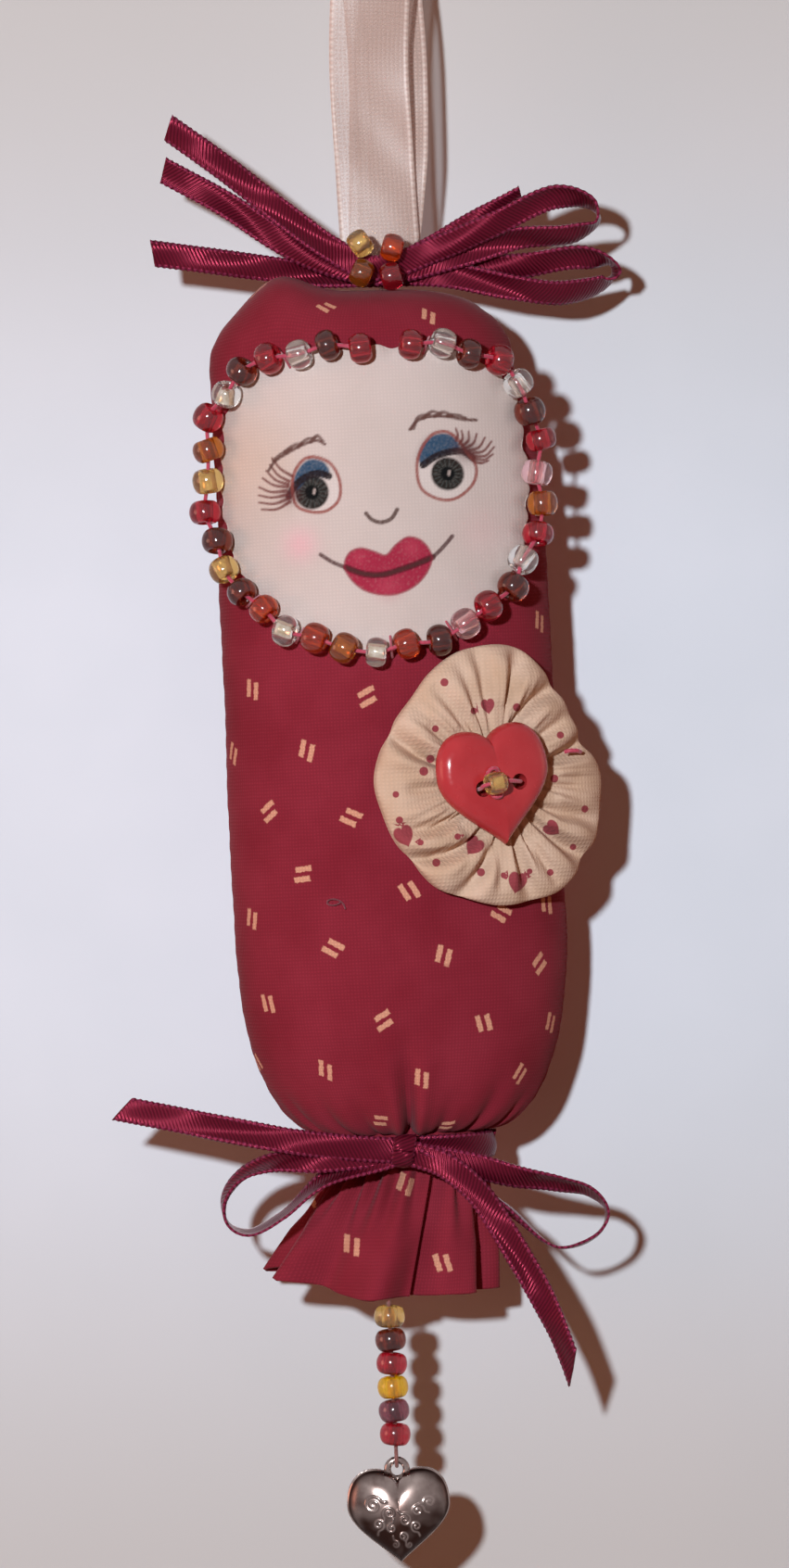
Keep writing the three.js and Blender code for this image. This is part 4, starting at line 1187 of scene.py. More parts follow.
# Sewing thread along the face beads, and the stitches that hold some of them


def face_threads():
    centres = np.array([bead_place(node)[0] for node in FACE_NODES])
    ends = (centres[-1] + centres[0]) / 2
    dips = [front(*(centre * 0.65 + ends * 0.35)[[0, 2]], 0.2) for centre in (centres[0], centres[-1])]
    ring = tubes("face_thread", [smooth_line([dips[0], *centres, dips[1]], 6)], THREAD_RADIUS)
    piece("face_thread", ring, PINK_THREAD, "face_bead_thread")
    stitches = []
    for i, (centre, after) in enumerate(zip(centres, centres[1:])):
        between = (centre + after) / 2
        inward = np.array([FACE_X - between[0], 0, FACE_Z - between[2]])
        inward /= np.linalg.norm(inward)
        foot = between + inward * (STITCH_FOOT + 0.5 * math.sin(3 * i))
        foot = front(foot[0], foot[2], FACE_PROUD - 0.2)
        out = between - inward * STITCH_OUT
        out = front(out[0], out[2], 0.1)
        if i % 5 in (0, 3) and abs(out[1] - between[1]) < STITCH_REACH:
            over = [foot, between * 0.75 + foot * 0.25, between, between * 0.8 + out * 0.2, out]
            stitches.append(smooth_line(over, 4))
    mesh = tubes("face_stitches", stitches, STITCH_RADIUS)
    piece("face_stitches", mesh, PINK_THREAD, body="doll", slot="pink_thread")


face_threads()

# Ribbons


def ribbon_mesh(name, line, across, width, columns=8, cut_start=0.0, cut_end=0.0, picot=0.0):
    """A ribbon along a line, with its width direction at each point. The cuts slant its ends by a length."""
    lengths = lengths_along(line)
    mesh = grid_mesh(name, int(lengths[-1] / RIBBON_STEP), columns)
    grid = points_of(mesh)
    share, side = (grid[:, 0] + 1) / 2, grid[:, 1]
    start, end = cut_start * side, lengths[-1] - cut_end * side
    place = start + share * (end - start)
    inside = np.clip(place, 0, lengths[-1])
    centre = rows_at(inside, lengths, line)
    along = unit(rows_at(inside, lengths, np.gradient(line, lengths, axis=0)))
    wide = rows_at(inside, lengths, across)
    wide = unit(wide - (wide * along).sum(1)[:, None] * along)
    face = np.cross(along, wide)
    half = np.interp(inside, lengths, np.broadcast_to(width, len(lengths))) / 2
    half = half + np.where(np.abs(side) > 0.99, picot * np.sin(2 * math.pi * place / PICOT_SPACING), 0)
    cup = 0.4 * (side**2 - 0.4) * np.sin(place / 6 + 1) + 0.18 * np.sin(place / 2.6 + 2 * side)
    points = centre + along * (place - inside)[:, None] + wide * (half * side)[:, None] + face * cup[:, None]
    set_points(mesh, points)
    lay_uv(mesh, np.column_stack([place, half * side]))
    return mesh


def turned_route(route):
    """A ribbon's line and its width directions, from points with a turn. At 0 degrees its face looks to the
    front, and at 90 degrees it stands edge-on."""
    route = np.array(route, float)
    line = smooth_line(route[:, :3], ROUTE_STEPS)
    along = unit(np.gradient(line, axis=0)[::ROUTE_STEPS])
    to_front = np.array([0, -1, 0])
    facing = unit(to_front - (along @ to_front)[:, None] * along)
    across = np.cross(along, facing)
    turn = np.radians(route[:, 3])[:, None]
    across = across * np.cos(turn) + np.cross(along, across) * np.sin(turn)
    return line, rows_at(np.arange(len(line)) / ROUTE_STEPS, np.arange(len(route)), across)


def satin(name, route, node, out_at, far_end="bare", **cuts):
    """A length of satin ribbon, which starts where it is sewn or tied."""
    line, across = turned_route(route)
    mesh = ribbon_mesh(name, line, across, SATIN_WIDTH, picot=PICOT, **cuts)
    obj = thickened(piece(name, mesh, SATIN, node), SATIN_THICKNESS)
    line = line * MM


def crown_layer(layer):
    """Depth of a ribbon's place in the stack at the crown."""
    return -0.9 - 0.8 * layer


# Hair ribbons: each runs from a tail on the left, over the crown, round a loop on the right and back
HAIR_UPPER = [
    (-26.1, -6.5, -25.7, 10), (-19.2, -6.0, -31.1, 0), (-12.7, -5.2, -36.7, -5),
    (-6.5, crown_layer(4), -41.6, 0), (-1.2, crown_layer(4), -44.4, 0), (6.8, crown_layer(4), -42.4, 10),
    (14.3, -5.0, -39.7, 15), (22.2, -5.4, -36.6, 35), (26.3, -4.6, -37.4, 65), (27.4, -3.6, -39.8, 95),
    (24.3, -3.2, -41.2, 125), (17.3, -3.4, -41.4, 150), (9.5, crown_layer(3), -43.2, 172),
    (3.0, crown_layer(3), -44.6, 180), (-1.2, crown_layer(3), -44.9, 180),
    (-7.2, crown_layer(3), -43.2, 180), (-12.6, -2.9, -40.3, 180), (-19.4, -2.6, -35.3, 176),
    (-27.1, -2.6, -30.6, 172),
]
HAIR_LOWER = [
    (-28.9, -4.4, -41.2, 0), (-21.2, -3.6, -42.5, 4), (-14.2, -2.2, -43.7, 0), (-8.5, -1.3, -44.6, 0),
    (-1.2, crown_layer(0), -44.9, 0), (5.0, crown_layer(0), -45.0, 0), (9.4, crown_layer(0), -44.8, 8),
    (17.5, -1.4, -44.8, 15), (25.3, -1.2, -44.0, 35), (29.3, 0.2, -45.2, 75), (28.4, 1.4, -47.0, 110),
    (22.8, -0.8, -48.4, 150), (16.6, -2.4, -47.6, 165), (9.0, -2.1, -45.7, 172),
    (3.0, crown_layer(1), -45.0, 180), (-2.6, crown_layer(1), -44.9, 180), (-2.6, crown_layer(2), -44.7, 0),
    (3.0, crown_layer(2), -43.6, 0), (10.4, crown_layer(2), -40.0, 6), (17.9, -3.2, -36.2, 45),
]
HAIR_EXIT = tuple(Vector((-6.5, crown_layer(4), -42)) * MM)
satin("upper_hair_satin", HAIR_UPPER, "hair_ribbon_upper", HAIR_EXIT, cut_start=0.5, cut_end=0.4)
satin("lower_hair_satin", HAIR_LOWER, "hair_ribbon_lower", HAIR_EXIT, cut_start=0.5, cut_end=0.4)

# Hanging loop of organza: from the crown up over the hook and back, and its width at each point
LOOP_HALF = 3.0
HANGER_TIP_Z = CROWN_Z + GAP
HANGER = [
    (0.2, 0.5, HANGER_TIP_Z), (0.1, 0.55, HANGER_TIP_Z + 2.2), (-0.2, 0.6, HANGER_TIP_Z + 6),
    (-0.4, 0.1, -30), (-0.5, -1.2, -18), (0.2, -LOOP_HALF, -8.5), (0.8, -LOOP_HALF, -LOOP_HALF),
    (0.9, -0.707 * LOOP_HALF, -0.293 * LOOP_HALF), (1, 0, 0), (1.1, 0.707 * LOOP_HALF, -0.293 * LOOP_HALF),
    (1.2, LOOP_HALF, -LOOP_HALF), (1.6, LOOP_HALF, -8.5), (1.9, 2.6, -18), (1.4, 2.0, -30),
    (0.4, 1.5, HANGER_TIP_Z + 6), (0.2, 1.4, HANGER_TIP_Z + 2.2), (0.2, 1.35, HANGER_TIP_Z),
]
HANGER_WIDTHS = [1.2, 5] + [ORGANZA_WIDTH] * 12 + [9, 5, 1.2]


def hanging_ribbon():
    line = smooth_line(HANGER, HANGER_STEPS)
    widths = np.interp(np.arange(len(line)) / HANGER_STEPS, np.arange(len(HANGER)), HANGER_WIDTHS)
    across = np.tile([1.0, 0, 0], (len(line), 1))
    mesh = ribbon_mesh("organza_loop", line, across, widths, columns=24)
    obj = thickened(piece("organza_loop", mesh, ORGANZA, "hanging_ribbon"), ORGANZA_THICKNESS)


hanging_ribbon()

# Tie: a wrap round the neck, a knot, two loops and two tails. Places are measured from the knot.
WRAP_HALF_WIDTH = NECK_HALF_WIDTH + 0.9
WRAP_HALF_DEPTH = NECK_HALF_DEPTH + 0.9
KNOT = np.array([BODY_X - 0.9, -WRAP_HALF_DEPTH - 1.6, TIE_Z])
KNOT_WIDTH = 2.7
WRAP_CLEAR = 0.2
TIE_TAIL_LEFT = [
    (0, -0.6, 0, 0), (-6.4, -1.4, 0.7, 0), (-13.3, -1.4, 1.8, 5), (-21.4, -0.8, 3.6, 10),
    (-28.3, 0.2, 5.3, 5), (-35.1, 1.2, 6.9, 0),
]
TIE_LOOP_LEFT = [
    (0, -0.2, -0.2, 0), (-10.5, -1.2, -0.6, 20), (-17, -0.6, -0.8, 45), (-20.9, 0.2, -2.6, 75),
    (-22.8, 0.8, -5.4, 88), (-22.4, 1.0, -8.2, 92), (-20, 0.8, -9.4, 95), (-15.6, 0.2, -7.5, 100),
    (-9.8, -0.8, -3, 130), (-1.4, -0.4, -0.4, 160),
]
TIE_LOOP_RIGHT = [
    (0, -0.1, -0.3, 0), (9, -1.0, -2.4, 15), (14, -0.8, -3.9, 25), (19.2, -0.4, -4.9, 50),
    (23.2, 0.4, -6.2, 75), (25.2, 0.8, -8.7, 88), (24.4, 1.0, -11.2, 92), (21.6, 0.8, -12.8, 93),
    (18.4, 0.4, -12.9, 95), (12.4, -0.6, -7.7, 105), (1.6, -0.4, -0.6, 130),
]
TIE_TAIL_RIGHT = [
    (0.6, -0.8, -0.2, 0), (5.1, -2.0, -2, 0), (8.9, -3.0, -5.4, -8), (11.2, -3.4, -9, -10),
    (13.5, -3.4, -13.2, 0), (15.9, -3.0, -17.8, 14), (18.1, -2.4, -23, 32), (19.8, -1.8, -28.2, 40),
]


def tie_band():
    """The wrap round the neck and the short turn over the knot, as one piece."""
    turns = np.linspace(0, 2 * math.pi, 97)
    c, s = np.cos(turns), np.sin(turns)
    wrap = np.column_stack([
        BODY_X + (WRAP_HALF_WIDTH + WRAP_CLEAR) * c, (WRAP_HALF_DEPTH + WRAP_CLEAR) * s, TIE_Z + 0 * turns
    ])
    over = KNOT + np.column_stack([0.3 * s, -1.35 * c - 0.2, 1.9 * s])
    upright = np.tile([0, 0, 1.0], (len(turns), 1))
    sideways = np.tile([1.0, 0, 0.15], (len(turns), 1))
    mesh = joined("tie_band", [
        ribbon_mesh("tie_wrap", wrap, upright, SATIN_WIDTH, picot=PICOT),
        ribbon_mesh("tie_knot", over, sideways, KNOT_WIDTH, picot=PICOT),
    ])
    thickened(piece("tie_band", mesh, SATIN, "tie_ribbon"), SATIN_THICKNESS)


def tie():
    tie_band()
    for name, places, far_end, cut in (
        ("tie_tail_left", TIE_TAIL_LEFT, "bare", 1.0), ("tie_loop_left", TIE_LOOP_LEFT, "object", 0.0),
        ("tie_loop_right", TIE_LOOP_RIGHT, "object", 0.0), ("tie_tail_right", TIE_TAIL_RIGHT, "bare", -2.2),
    ):
        route = [(*(KNOT + place[:3]), place[3]) for place in np.array(places)]
        satin(name, route, "tie_ribbon", tuple(KNOT * MM), far_end, cut_end=cut)


tie()


# Rosette gathered from a round of calico, and the heart button on it
ROSETTE_X = 10
ROSETTE_Z = -109.2
ROSETTE_RADIUS = 15.9
ROSETTE_RIM = 1.3
ROSETTE_PUFF = 3.1
ROSETTE_BEND = 1 / 120
BUTTON_SEAT = ROSETTE_PUFF + 0.35 + GAP
BUTTON_TURN = math.radians(-8)
BUTTON_WIDTH = 15
BUTTON_HEIGHT = 14.8
BUTTON_NOTCH = 1.6
BUTTON_THICKNESS = 3.2
HOLE_RADIUS = 1
HOLE_SPACING = 5

rosette_seat = front(ROSETTE_X, ROSETTE_Z, 0)
rosette_girth = girth(np.array(ROSETTE_Z, float))
rosette_slope = [(rosette_seat[i] - (BODY_X, 0)[i]) / float(rosette_girth[i]) ** 2 for i in (0, 1)]
rosette_out = Vector((*rosette_slope, 0)).normalized()
ON_ROSETTE = Matrix.Translation(Vector(rosette_seat) + GAP * rosette_out) @ Matrix.Rotation(
    math.atan2(rosette_out.x, -rosette_out.y), 4, "Z"
)
BUTTON_PLACE = Matrix.Translation((-1.4, -BUTTON_SEAT, -1.1))
ON_BUTTON = ON_ROSETTE @ BUTTON_PLACE @ Matrix.Rotation(BUTTON_TURN, 4, "Y")

# Pleats drawn in to the middle: angle at the rim, angle under the button, depth, and how far out each reaches
ROSETTE_PLEATS = [
    (108, 107, 2.2, 1.0), (97, 98, 2.3, 1.1), (89, 90, 2.0, 0.9), (76, 81, 2.1, 1.05), (51, 69, 2.0, 1.25),
    (124, 118, 1.3, 0.95), (62, 73, 1.3, 0.9), (156, 168, 2.1, 1.35), (140, 148, 1.0, 0.8),
    (183, 190, 0.9, 0.8), (204, 224, 1.5, 1.0), (221, 251, 2.4, 1.3), (236, 258, 1.4, 0.95),
    (249, 266, 2.1, 1.15), (267, 272, 2.2, 0.9), (285, 281, 2.1, 1.1), (300, 292, 1.6, 0.95),
    (319, 309, 2.2, 1.3), (338, 326, 1.5, 1.0), (356, 345, 0.9, 0.75), (17, 12, 1.9, 1.35),
    (34, 40, 1.1, 0.9),
]
# Printed hearts, bars and dots: x, z, lean, size and 1 for a heart
ROSETTE_PRINT = [
    (-0.7, -116.3, -20, 1.2, 1), (7.6, -117.9, 40, 1.1, 1), (12.9, -122.8, 15, 1.2, 1),
    (17.9, -116.2, -50, 0.95, 1), (10.4, -100.6, -5, 0.85, 1), (11.3, -121.5, 0, 0.35, 0),
    (1.2, -116.9, 0, 0.35, 0), (3.0, -119.5, 0, 0.5, 0), (8.5, -121.0, 0, 0.5, 0),
    (17.2, -121.5, 0, 0.42, 0), (2.0, -108.1, 30, 0.55, 0), (3.7, -102.9, 0, 0.42, 0),
    (14.0, -100.7, 0, 0.5, 0), (19.3, -104.4, 0, 0.45, 0), (18.3, -109.8, 0, 0.5, 0),
    (22.0, -113.8, 0, 0.45, 0), (8.6, -100.9, 0, 0.42, 0), (5.1, -97.2, 0, 0.5, 0),
    (5.8, -116.4, 0, 0.4, 0), (-1.3, -114.0, 0, 0.45, 0), (14.6, -121.2, 0, 0.35, 0),
    (2.9, -106.6, 0, 0.5, 0), (20.3, -118.5, 0, 0.4, 0), (-1.6, -110.8, 0, 0.4, 0),
]
# Radius of the rosette as it is seen, from the right, anticlockwise, each 15 degrees
ROSETTE_RADII = [
    14.0, 12.5, 12.3, 13.2, 14.5, 16.2, 16.4, 16.1, 15.0, 13.8, 13.6, 13.7, 14.0, 13.8, 14.1, 14.5, 15.4,
    15.5, 16.0, 16.1, 16.4, 15.7, 15.2, 14.4,
]
ROSETTE_FACING = 0.92
PLEAT_START = 0.4
RIM_DENT = 0.06
ROSETTE_SIDES = 360
# Fine gathers under the button, and limits of how far the cloth stands in or out
FINE_GATHERS = 46
FINE_DEPTH = 0.3
LOWEST = -2.6
HIGHEST = 1.1
HIGHEST_UNDER_BUTTON = 0.3
BUTTON_SHARE = 0.55


def rosette_outline(angle):
    """The outline is uneven, as a hand-gathered round is. The rosette is seen at a slant, so it narrows."""
    steps = np.arange(len(ROSETTE_RADII)) * 2 * math.pi / len(ROSETTE_RADII)
    edge = smooth_line(on_circle(steps) * np.array(ROSETTE_RADII)[:, None], 8, True)
    seen = np.interp(wrapped(angle), angle_of(edge), np.linalg.norm(edge, axis=1), period=2 * math.pi)
    return seen * np.hypot(np.cos(angle) / ROSETTE_FACING, np.sin(angle))


def rosette():
    profile = smooth_line([
        (0.0, 0), (0.5, 0), (0.9, 0.2 * ROSETTE_RIM), (1.0, ROSETTE_RIM), (0.95, 0.85 * ROSETTE_PUFF),
        (0.78, ROSETTE_PUFF), (0.5, 0.9 * ROSETTE_PUFF), (0.2, 0.8 * ROSETTE_PUFF), (0.0, 0.7 * ROSETTE_PUFF),
    ], 9)
    rows = [(max(radius, 1e-3), height + 1e-6 * i) for i, (radius, height) in enumerate(profile)]
    mesh = mesh_of(spun(rows, ROSETTE_SIDES), "rosette")
    places = points_of(mesh)
    share, height = np.hypot(places[:, 0], places[:, 1]), places[:, 2]
    angle = angle_of(places)
    is_front = clamped((height - ROSETTE_RIM) / (ROSETTE_PUFF - ROSETTE_RIM))
    lift, dent = np.zeros(len(places)), np.zeros(len(places))
    outward = clamped((share - PLEAT_START) / (1 - PLEAT_START))
    for rim_angle, root_angle, deep, reach in ROSETTE_PLEATS:
        lean = np.radians(root_angle + (rim_angle - root_angle) * outward)
        off = np.abs(wrapped(angle - lean)) * np.maximum(share, 0.2) * ROSETTE_RADIUS / (0.5 + 0.7 * outward)
        fade = clamped((reach - share) / 0.45) ** 0.6
        lift -= deep * bell(off) * fade
        lift += RIDGE_SHARE * deep * bell((off - 2.3) / RIDGE_WIDTH) * fade
        dent += RIM_DENT * max(reach - 1, 0) * bell(off / 1.3) * share**4
    lift += 0.2 * ripple(np.column_stack([places[:, :2] * 16, height]), 3.2, 6)
    lift += FINE_DEPTH * (1 - outward) * np.cos(FINE_GATHERS * angle + 3 * np.sin(5 * angle))
    highest = np.where(share < BUTTON_SHARE, HIGHEST_UNDER_BUTTON, HIGHEST)
    lift = np.clip(lift, LOWEST, highest) * is_front
    radius = rosette_outline(angle) * share * (1 - dent)
    x, z = radius * np.cos(angle), radius * np.sin(angle)
    world = placed(np.column_stack([x, ROSETTE_BEND * x**2 - height - lift, z]), ON_ROSETTE)
    shift = np.where(height > 0.5 * ROSETTE_RIM, 0, ASIDE)
    lay_uv(mesh, np.column_stack([x, z]))
    lay_motifs(mesh, "hearts", np.column_stack([world[:, 0] + shift, world[:, 2]]), ROSETTE_PRINT)
    piece("rosette", reshaped(mesh, world), CALICO, "yo_yo")


rosette()


def heart_outline(width, height, notch, steps=24):
    """A heart in the XZ plane, clockwise from its notch: four Bezier curves."""
    w, h = width / 2, height / 2
    corners = [
        [(0, h - notch), (0.16 * w, 1.06 * h), (w, 1.22 * h), (w, 0.24 * h)],
        [(w, 0.24 * h), (w, -0.24 * h), (0.3 * w, -0.66 * h), (0, -h)],
        [(0, -h), (-0.3 * w, -0.66 * h), (-w, -0.24 * h), (-w, 0.24 * h)],
        [(-w, 0.24 * h), (-w, 1.22 * h), (-0.16 * w, 1.06 * h), (0, h - notch)],
    ]
    t = (np.arange(steps) / steps)[:, None]
    curves = []
    for a, b, c, d in np.array(corners):
        curves.append((1 - t) ** 3 * a + 3 * (1 - t) ** 2 * t * b + 3 * (1 - t) * t**2 * c + t**3 * d)
    return np.concatenate(curves)


def heart_shell(name, outline, rings):
    """A closed shape of scaled outlines: each ring is a share of the outline and a depth along -Y."""
    rings = np.array(rings)
    mesh = grid_mesh(name, len(outline), len(rings) - 1)
    grid = (points_of(mesh) + 1) / 2
    column = np.rint(grid[:, 0] * len(outline)).astype(int) % len(outline)
    share, depth = rings[np.rint(grid[:, 1] * (len(rings) - 1)).astype(int)].T
    return reshaped(mesh, np.column_stack([outline[column, 0] * share, -depth, outline[column, 1] * share]))


BUTTON_RINGS = [
    (0.02, 0.0), (0.5, 0.0), (0.86, 0.0), (0.94, 0.12), (0.985, 0.45), (1.0, 0.9), (0.995, 1.35),
    (0.965, 1.95), (0.91, 2.45), (0.82, 2.8), (0.7, 3.0), (0.5, 3.12), (0.3, 3.17), (0.15, 3.19),
    (0.02, BUTTON_THICKNESS),
]


def heart_button():
    outline = heart_outline(BUTTON_WIDTH, BUTTON_HEIGHT, BUTTON_NOTCH)
    blank = linked("button_blank", heart_shell("button_blank", outline, BUTTON_RINGS))
    drills = []
    for side in (-1, 1):
        bm = bmesh.new()
        across = Matrix.Translation((side * HOLE_SPACING / 2, 0, 0))
        bmesh.ops.create_cone(
            bm, cap_ends=True, segments=32, radius1=HOLE_RADIUS, radius2=HOLE_RADIUS,
            depth=4 * BUTTON_THICKNESS, matrix=across @ Matrix.Rotation(math.pi / 2, 4, "X"),
        )
        drill = linked("drill", mesh_of(bm, "drill"))
        cut = blank.modifiers.new("hole", "BOOLEAN")
        cut.object = drill
        cut.solver = "EXACT"
        drills.append(drill)
    drilled = evaluated(blank, *drills)
    drilled.set_sharp_from_angle(angle=math.radians(40))
    drilled.transform(ON_BUTTON)
    piece("heart_button_resin", drilled, RESIN, "heart_button")


heart_button()


def button_thread():
    """One pass through the bead, and one over the button above and below it."""
    hole = HOLE_SPACING / 2
    bead_x, bead_z = BUTTON_BEAD_ACROSS, BUTTON_BEAD_UP
    bead_y = -BUTTON_THICKNESS - GAP - BUTTON_BEAD_RADIUS
    lines = [[
        (-hole, 0.5, 0), (-hole - 0.5, -3.4, 0.1), (bead_x - 1.5, bead_y, bead_z),
        (bead_x + 1.5, bead_y, bead_z), (hole, -3.4, 0), (hole, 0.5, 0),
    ]]
    for up in (-1, 1):
        beside = bead_z + up * BUTTON_BEAD_RADIUS
        lines.append([
            (bead_x - 0.4, -3.2, beside - 0.5 * up), (bead_x + 0.2, -3.75, beside + 0.35 * up),
            (bead_x + 0.9, -3.75, beside + 0.3 * up), (bead_x + 1.4, -3.2, beside - 0.5 * up),
        ])
    mesh = tubes("button_thread", [smooth_line(line, 6) for line in lines], THREAD_RADIUS)
    mesh.transform(ON_BUTTON)
    piece("button_thread", mesh, PINK_THREAD, body="button", slot="pink_thread")


button_thread()


# Bead strand's thread and the charm
thread_low, thread_high = node_box("dangle_thread")
STRAND_X, STRAND_Y = (thread_low[:2] + thread_high[:2]) / 2
EYE_RADIUS = 1.05
EYE_Z = thread_low[2] + THREAD_RADIUS + EYE_RADIUS


def strand_thread():
    top, bottom = thread_high[2], EYE_Z + EYE_RADIUS
    stem = np.linspace((STRAND_X, STRAND_Y, top), (STRAND_X, STRAND_Y, bottom), 12)
    eye = np.column_stack([np.zeros(32), EYE_RADIUS * on_circle(full_turn(32))]) + (STRAND_X, STRAND_Y, EYE_Z)
    mesh = joined("strand_thread", [
        tubes("stem", [stem], THREAD_RADIUS), tubes("eye", [eye], THREAD_RADIUS, closed=True)
    ])
    piece("strand_thread", mesh, STRAND_THREAD, "dangle_thread")


strand_thread()

charm_low, charm_high = node_box("heart_charm")
CHARM_WIDTH = 12.9
CHARM_HEIGHT = 11.9
CHARM_NOTCH = 1.4
CHARM_RIM = 0.4
CHARM_PUFF = 2.5
CHARM_LOOP_RADIUS = 1.18
CHARM_LOOP_WIRE = 0.45
FLANGE = 0.965
SCROLL_HEIGHT = 0.1
SCROLL_WIDTH = 0.11
# Darkening: how dark the painted reflection on the dome's sloping edge and lower half is, how much tarnish is
# worn or rubbed off, and the height at which the painted reflection starts
PAINTED_REFLECTION_DARKNESS = 0.92
PATINA_WEAR = 0.3
PATINA_CLEAR = 0.06
SCROLL_RUB = 0.7
PAINTED_REFLECTION_TOP = 3.4
PAINTED_REFLECTION_FADE = 4.6
RIM_BEAD = 0.14
RIM_BEAD_WIDTH = 0.018
# Raised scrolls: x, z, radius, turns, way round and first angle
SCROLLS = [
    (-3.2, 1.6, 1.15, 1.6, 1, 40), (-1.2, 0.5, 0.85, 1.4, -1, 200), (-2.6, -0.9, 0.75, 1.4, 1, 300),
    (-1.0, -1.4, 0.6, 1.3, 1, 120), (0.7, -0.4, 0.8, 1.5, -1, 90), (2.4, 0.7, 0.8, 1.4, 1, 20),
    (3.9, 1.7, 0.7, 1.3, -1, 150), (2.1, -1.3, 0.7, 1.4, -1, 250), (0.4, -2.5, 0.6, 1.3, 1, 330),
    (-0.6, -3.5, 0.45, 1.2, -1, 60), (1.1, -3.6, 0.4, 1.2, 1, 180),
]


def curl(x, z, radius, turns, way, start):
    """A raised scroll that winds in to its middle, one way or the other."""
    t = np.linspace(0, 1, 36)
    angle = math.radians(start) + way * 2 * math.pi * turns * t
    shrink = radius * (1 - 0.82 * t)
    return np.column_stack([x + shrink * np.cos(angle), z + shrink * np.sin(angle)])


def scrollwork():
    """Scrolls all over the front, each with a tail, as on a cast locket."""
    lines = [curl(*scroll) for scroll in SCROLLS]
    for x, z, radius, _, way, start in SCROLLS:
        turn = math.radians(start)
        out = np.array((math.cos(turn), math.sin(turn)))
        back = way * np.array((out[1], -out[0]))
        foot = (x, z) + radius * out
        lines.append(smooth_line([foot, foot + 0.45 * back, foot + 0.8 * back + 0.35 * out], 6))
    return lines


def heart_charm():
    centre = (charm_low + charm_high) / 2
    centre[2] = charm_low[2] + CHARM_HEIGHT / 2
    outline = heart_outline(CHARM_WIDTH, CHARM_HEIGHT, CHARM_NOTCH, 60)
    shares = np.concatenate([np.linspace(0.02, FLANGE, 54), np.linspace(FLANGE, 1, 9)[1:]])
    dome = np.sqrt(1 - np.minimum(shares / FLANGE, 1) ** 2)
    depths = CHARM_RIM + (CHARM_PUFF - CHARM_RIM) * dome + RIM_BEAD * bell((shares - FLANGE) / RIM_BEAD_WIDTH)
    rings = [*zip(shares, depths), *zip(shares[::-1], -depths[::-1])]
    wire_rows = (CHARM_LOOP_RADIUS, 0) + CHARM_LOOP_WIRE * on_circle(full_turn(24))
    loop = mesh_of(cleaned(spun(wire_rows, 48, closed=True)), "loop")
    loop.transform(
        Matrix.Translation((0, 0, charm_high[2] - CHARM_LOOP_RADIUS - CHARM_LOOP_WIRE - centre[2]))
        @ Matrix.Rotation(math.pi / 2, 4, "X")
    )
    mesh = joined("heart_charm_cast", [heart_shell("heart", outline, rings), loop])
    points = points_of(mesh)
    ridge = np.zeros(len(points))
    for line in scrollwork():
        distance, _ = segments_near(line, points[:, [0, 2]])
        ridge = np.maximum(ridge, bell(distance / SCROLL_WIDTH))
    deep = np.abs(points[:, 1])
    ridge *= clamped((deep - CHARM_RIM - 0.25) / 0.3)
    is_heart = points[:, 2] < CHARM_HEIGHT / 2
    is_rim = (deep < CHARM_RIM + 0.12) | (np.abs(points[:, 0]) < 1.6) & (points[:, 2] > 3.6)
    # Painted dark reflection: the dome's sloping edge and its lower half are darkened as if the metal
    # reflected a dark room. The random wear and the rubbed scrolls are the tarnish's own.
    slope = clamped((1.75 - deep) / 0.9) * is_heart * ~is_rim
    painted_reflection_below = clamped((PAINTED_REFLECTION_TOP - points[:, 2] + 1.2 * ripple(points, 1.7, 9)) / PAINTED_REFLECTION_FADE)
    painted_reflection_below *= deep > CHARM_RIM + 0.3
    worn = PATINA_WEAR * (0.5 + 0.5 * ripple(points, 1.1, 8))
    patina_and_painted_reflection = clamped(PAINTED_REFLECTION_DARKNESS * np.maximum(slope, painted_reflection_below) + worn - PATINA_CLEAR - SCROLL_RUB * ridge)
    store(mesh, "patina_and_painted_reflection", np.column_stack([patina_and_painted_reflection, patina_and_painted_reflection, patina_and_painted_reflection, np.ones(len(points))]))
    points[:, 1] += np.sign(points[:, 1]) * SCROLL_HEIGHT * ridge
    set_points(mesh, points + centre)
    piece("heart_charm_cast", mesh, SILVER, "heart_charm")


heart_charm()

# Loose threads: a curl of lint on the belly, and one pink stitch on the rosette
LINT_RADIUS = 0.09
ROSETTE_STITCH = [(9.2, -3.0, 2.7), (9.9, -3.5, 2.8), (10.7, -3.5, 2.75), (11.4, -2.9, 2.6)]
ROSETTE_STITCH_RADIUS = 0.28


def loose_threads():
    curl_x, curl_z = -9.7, -124.8
    turns = np.linspace(0, 1.7 * math.pi, 24)
    lint = front(curl_x + 1.1 * np.cos(turns), curl_z + 0.8 * np.sin(turns) + 0.3 * turns, 0.35)
    piece("lint", tubes("lint", [lint], LINT_RADIUS), DARK_THREAD, body="doll", slot="burgundy_satin")
    stitch = smooth_line(placed(ROSETTE_STITCH, ON_ROSETTE), 5)
    mesh = tubes("rosette_stitch", [stitch], ROSETTE_STITCH_RADIUS)
    piece("rosette_stitch", mesh, PINK_THREAD, body="doll", slot="pink_thread")


loose_threads()

# Wall, floor and light
WALL_Y = 15.5 * MM
FLOOR_Z = -0.3
KEY_DISTANCE = 0.68
KEY_LEFT = math.radians(10)
KEY_UP = math.radians(8)
KEY = Vector((-math.sin(KEY_LEFT), -math.cos(KEY_LEFT) * math.cos(KEY_UP), math.sin(KEY_UP)))
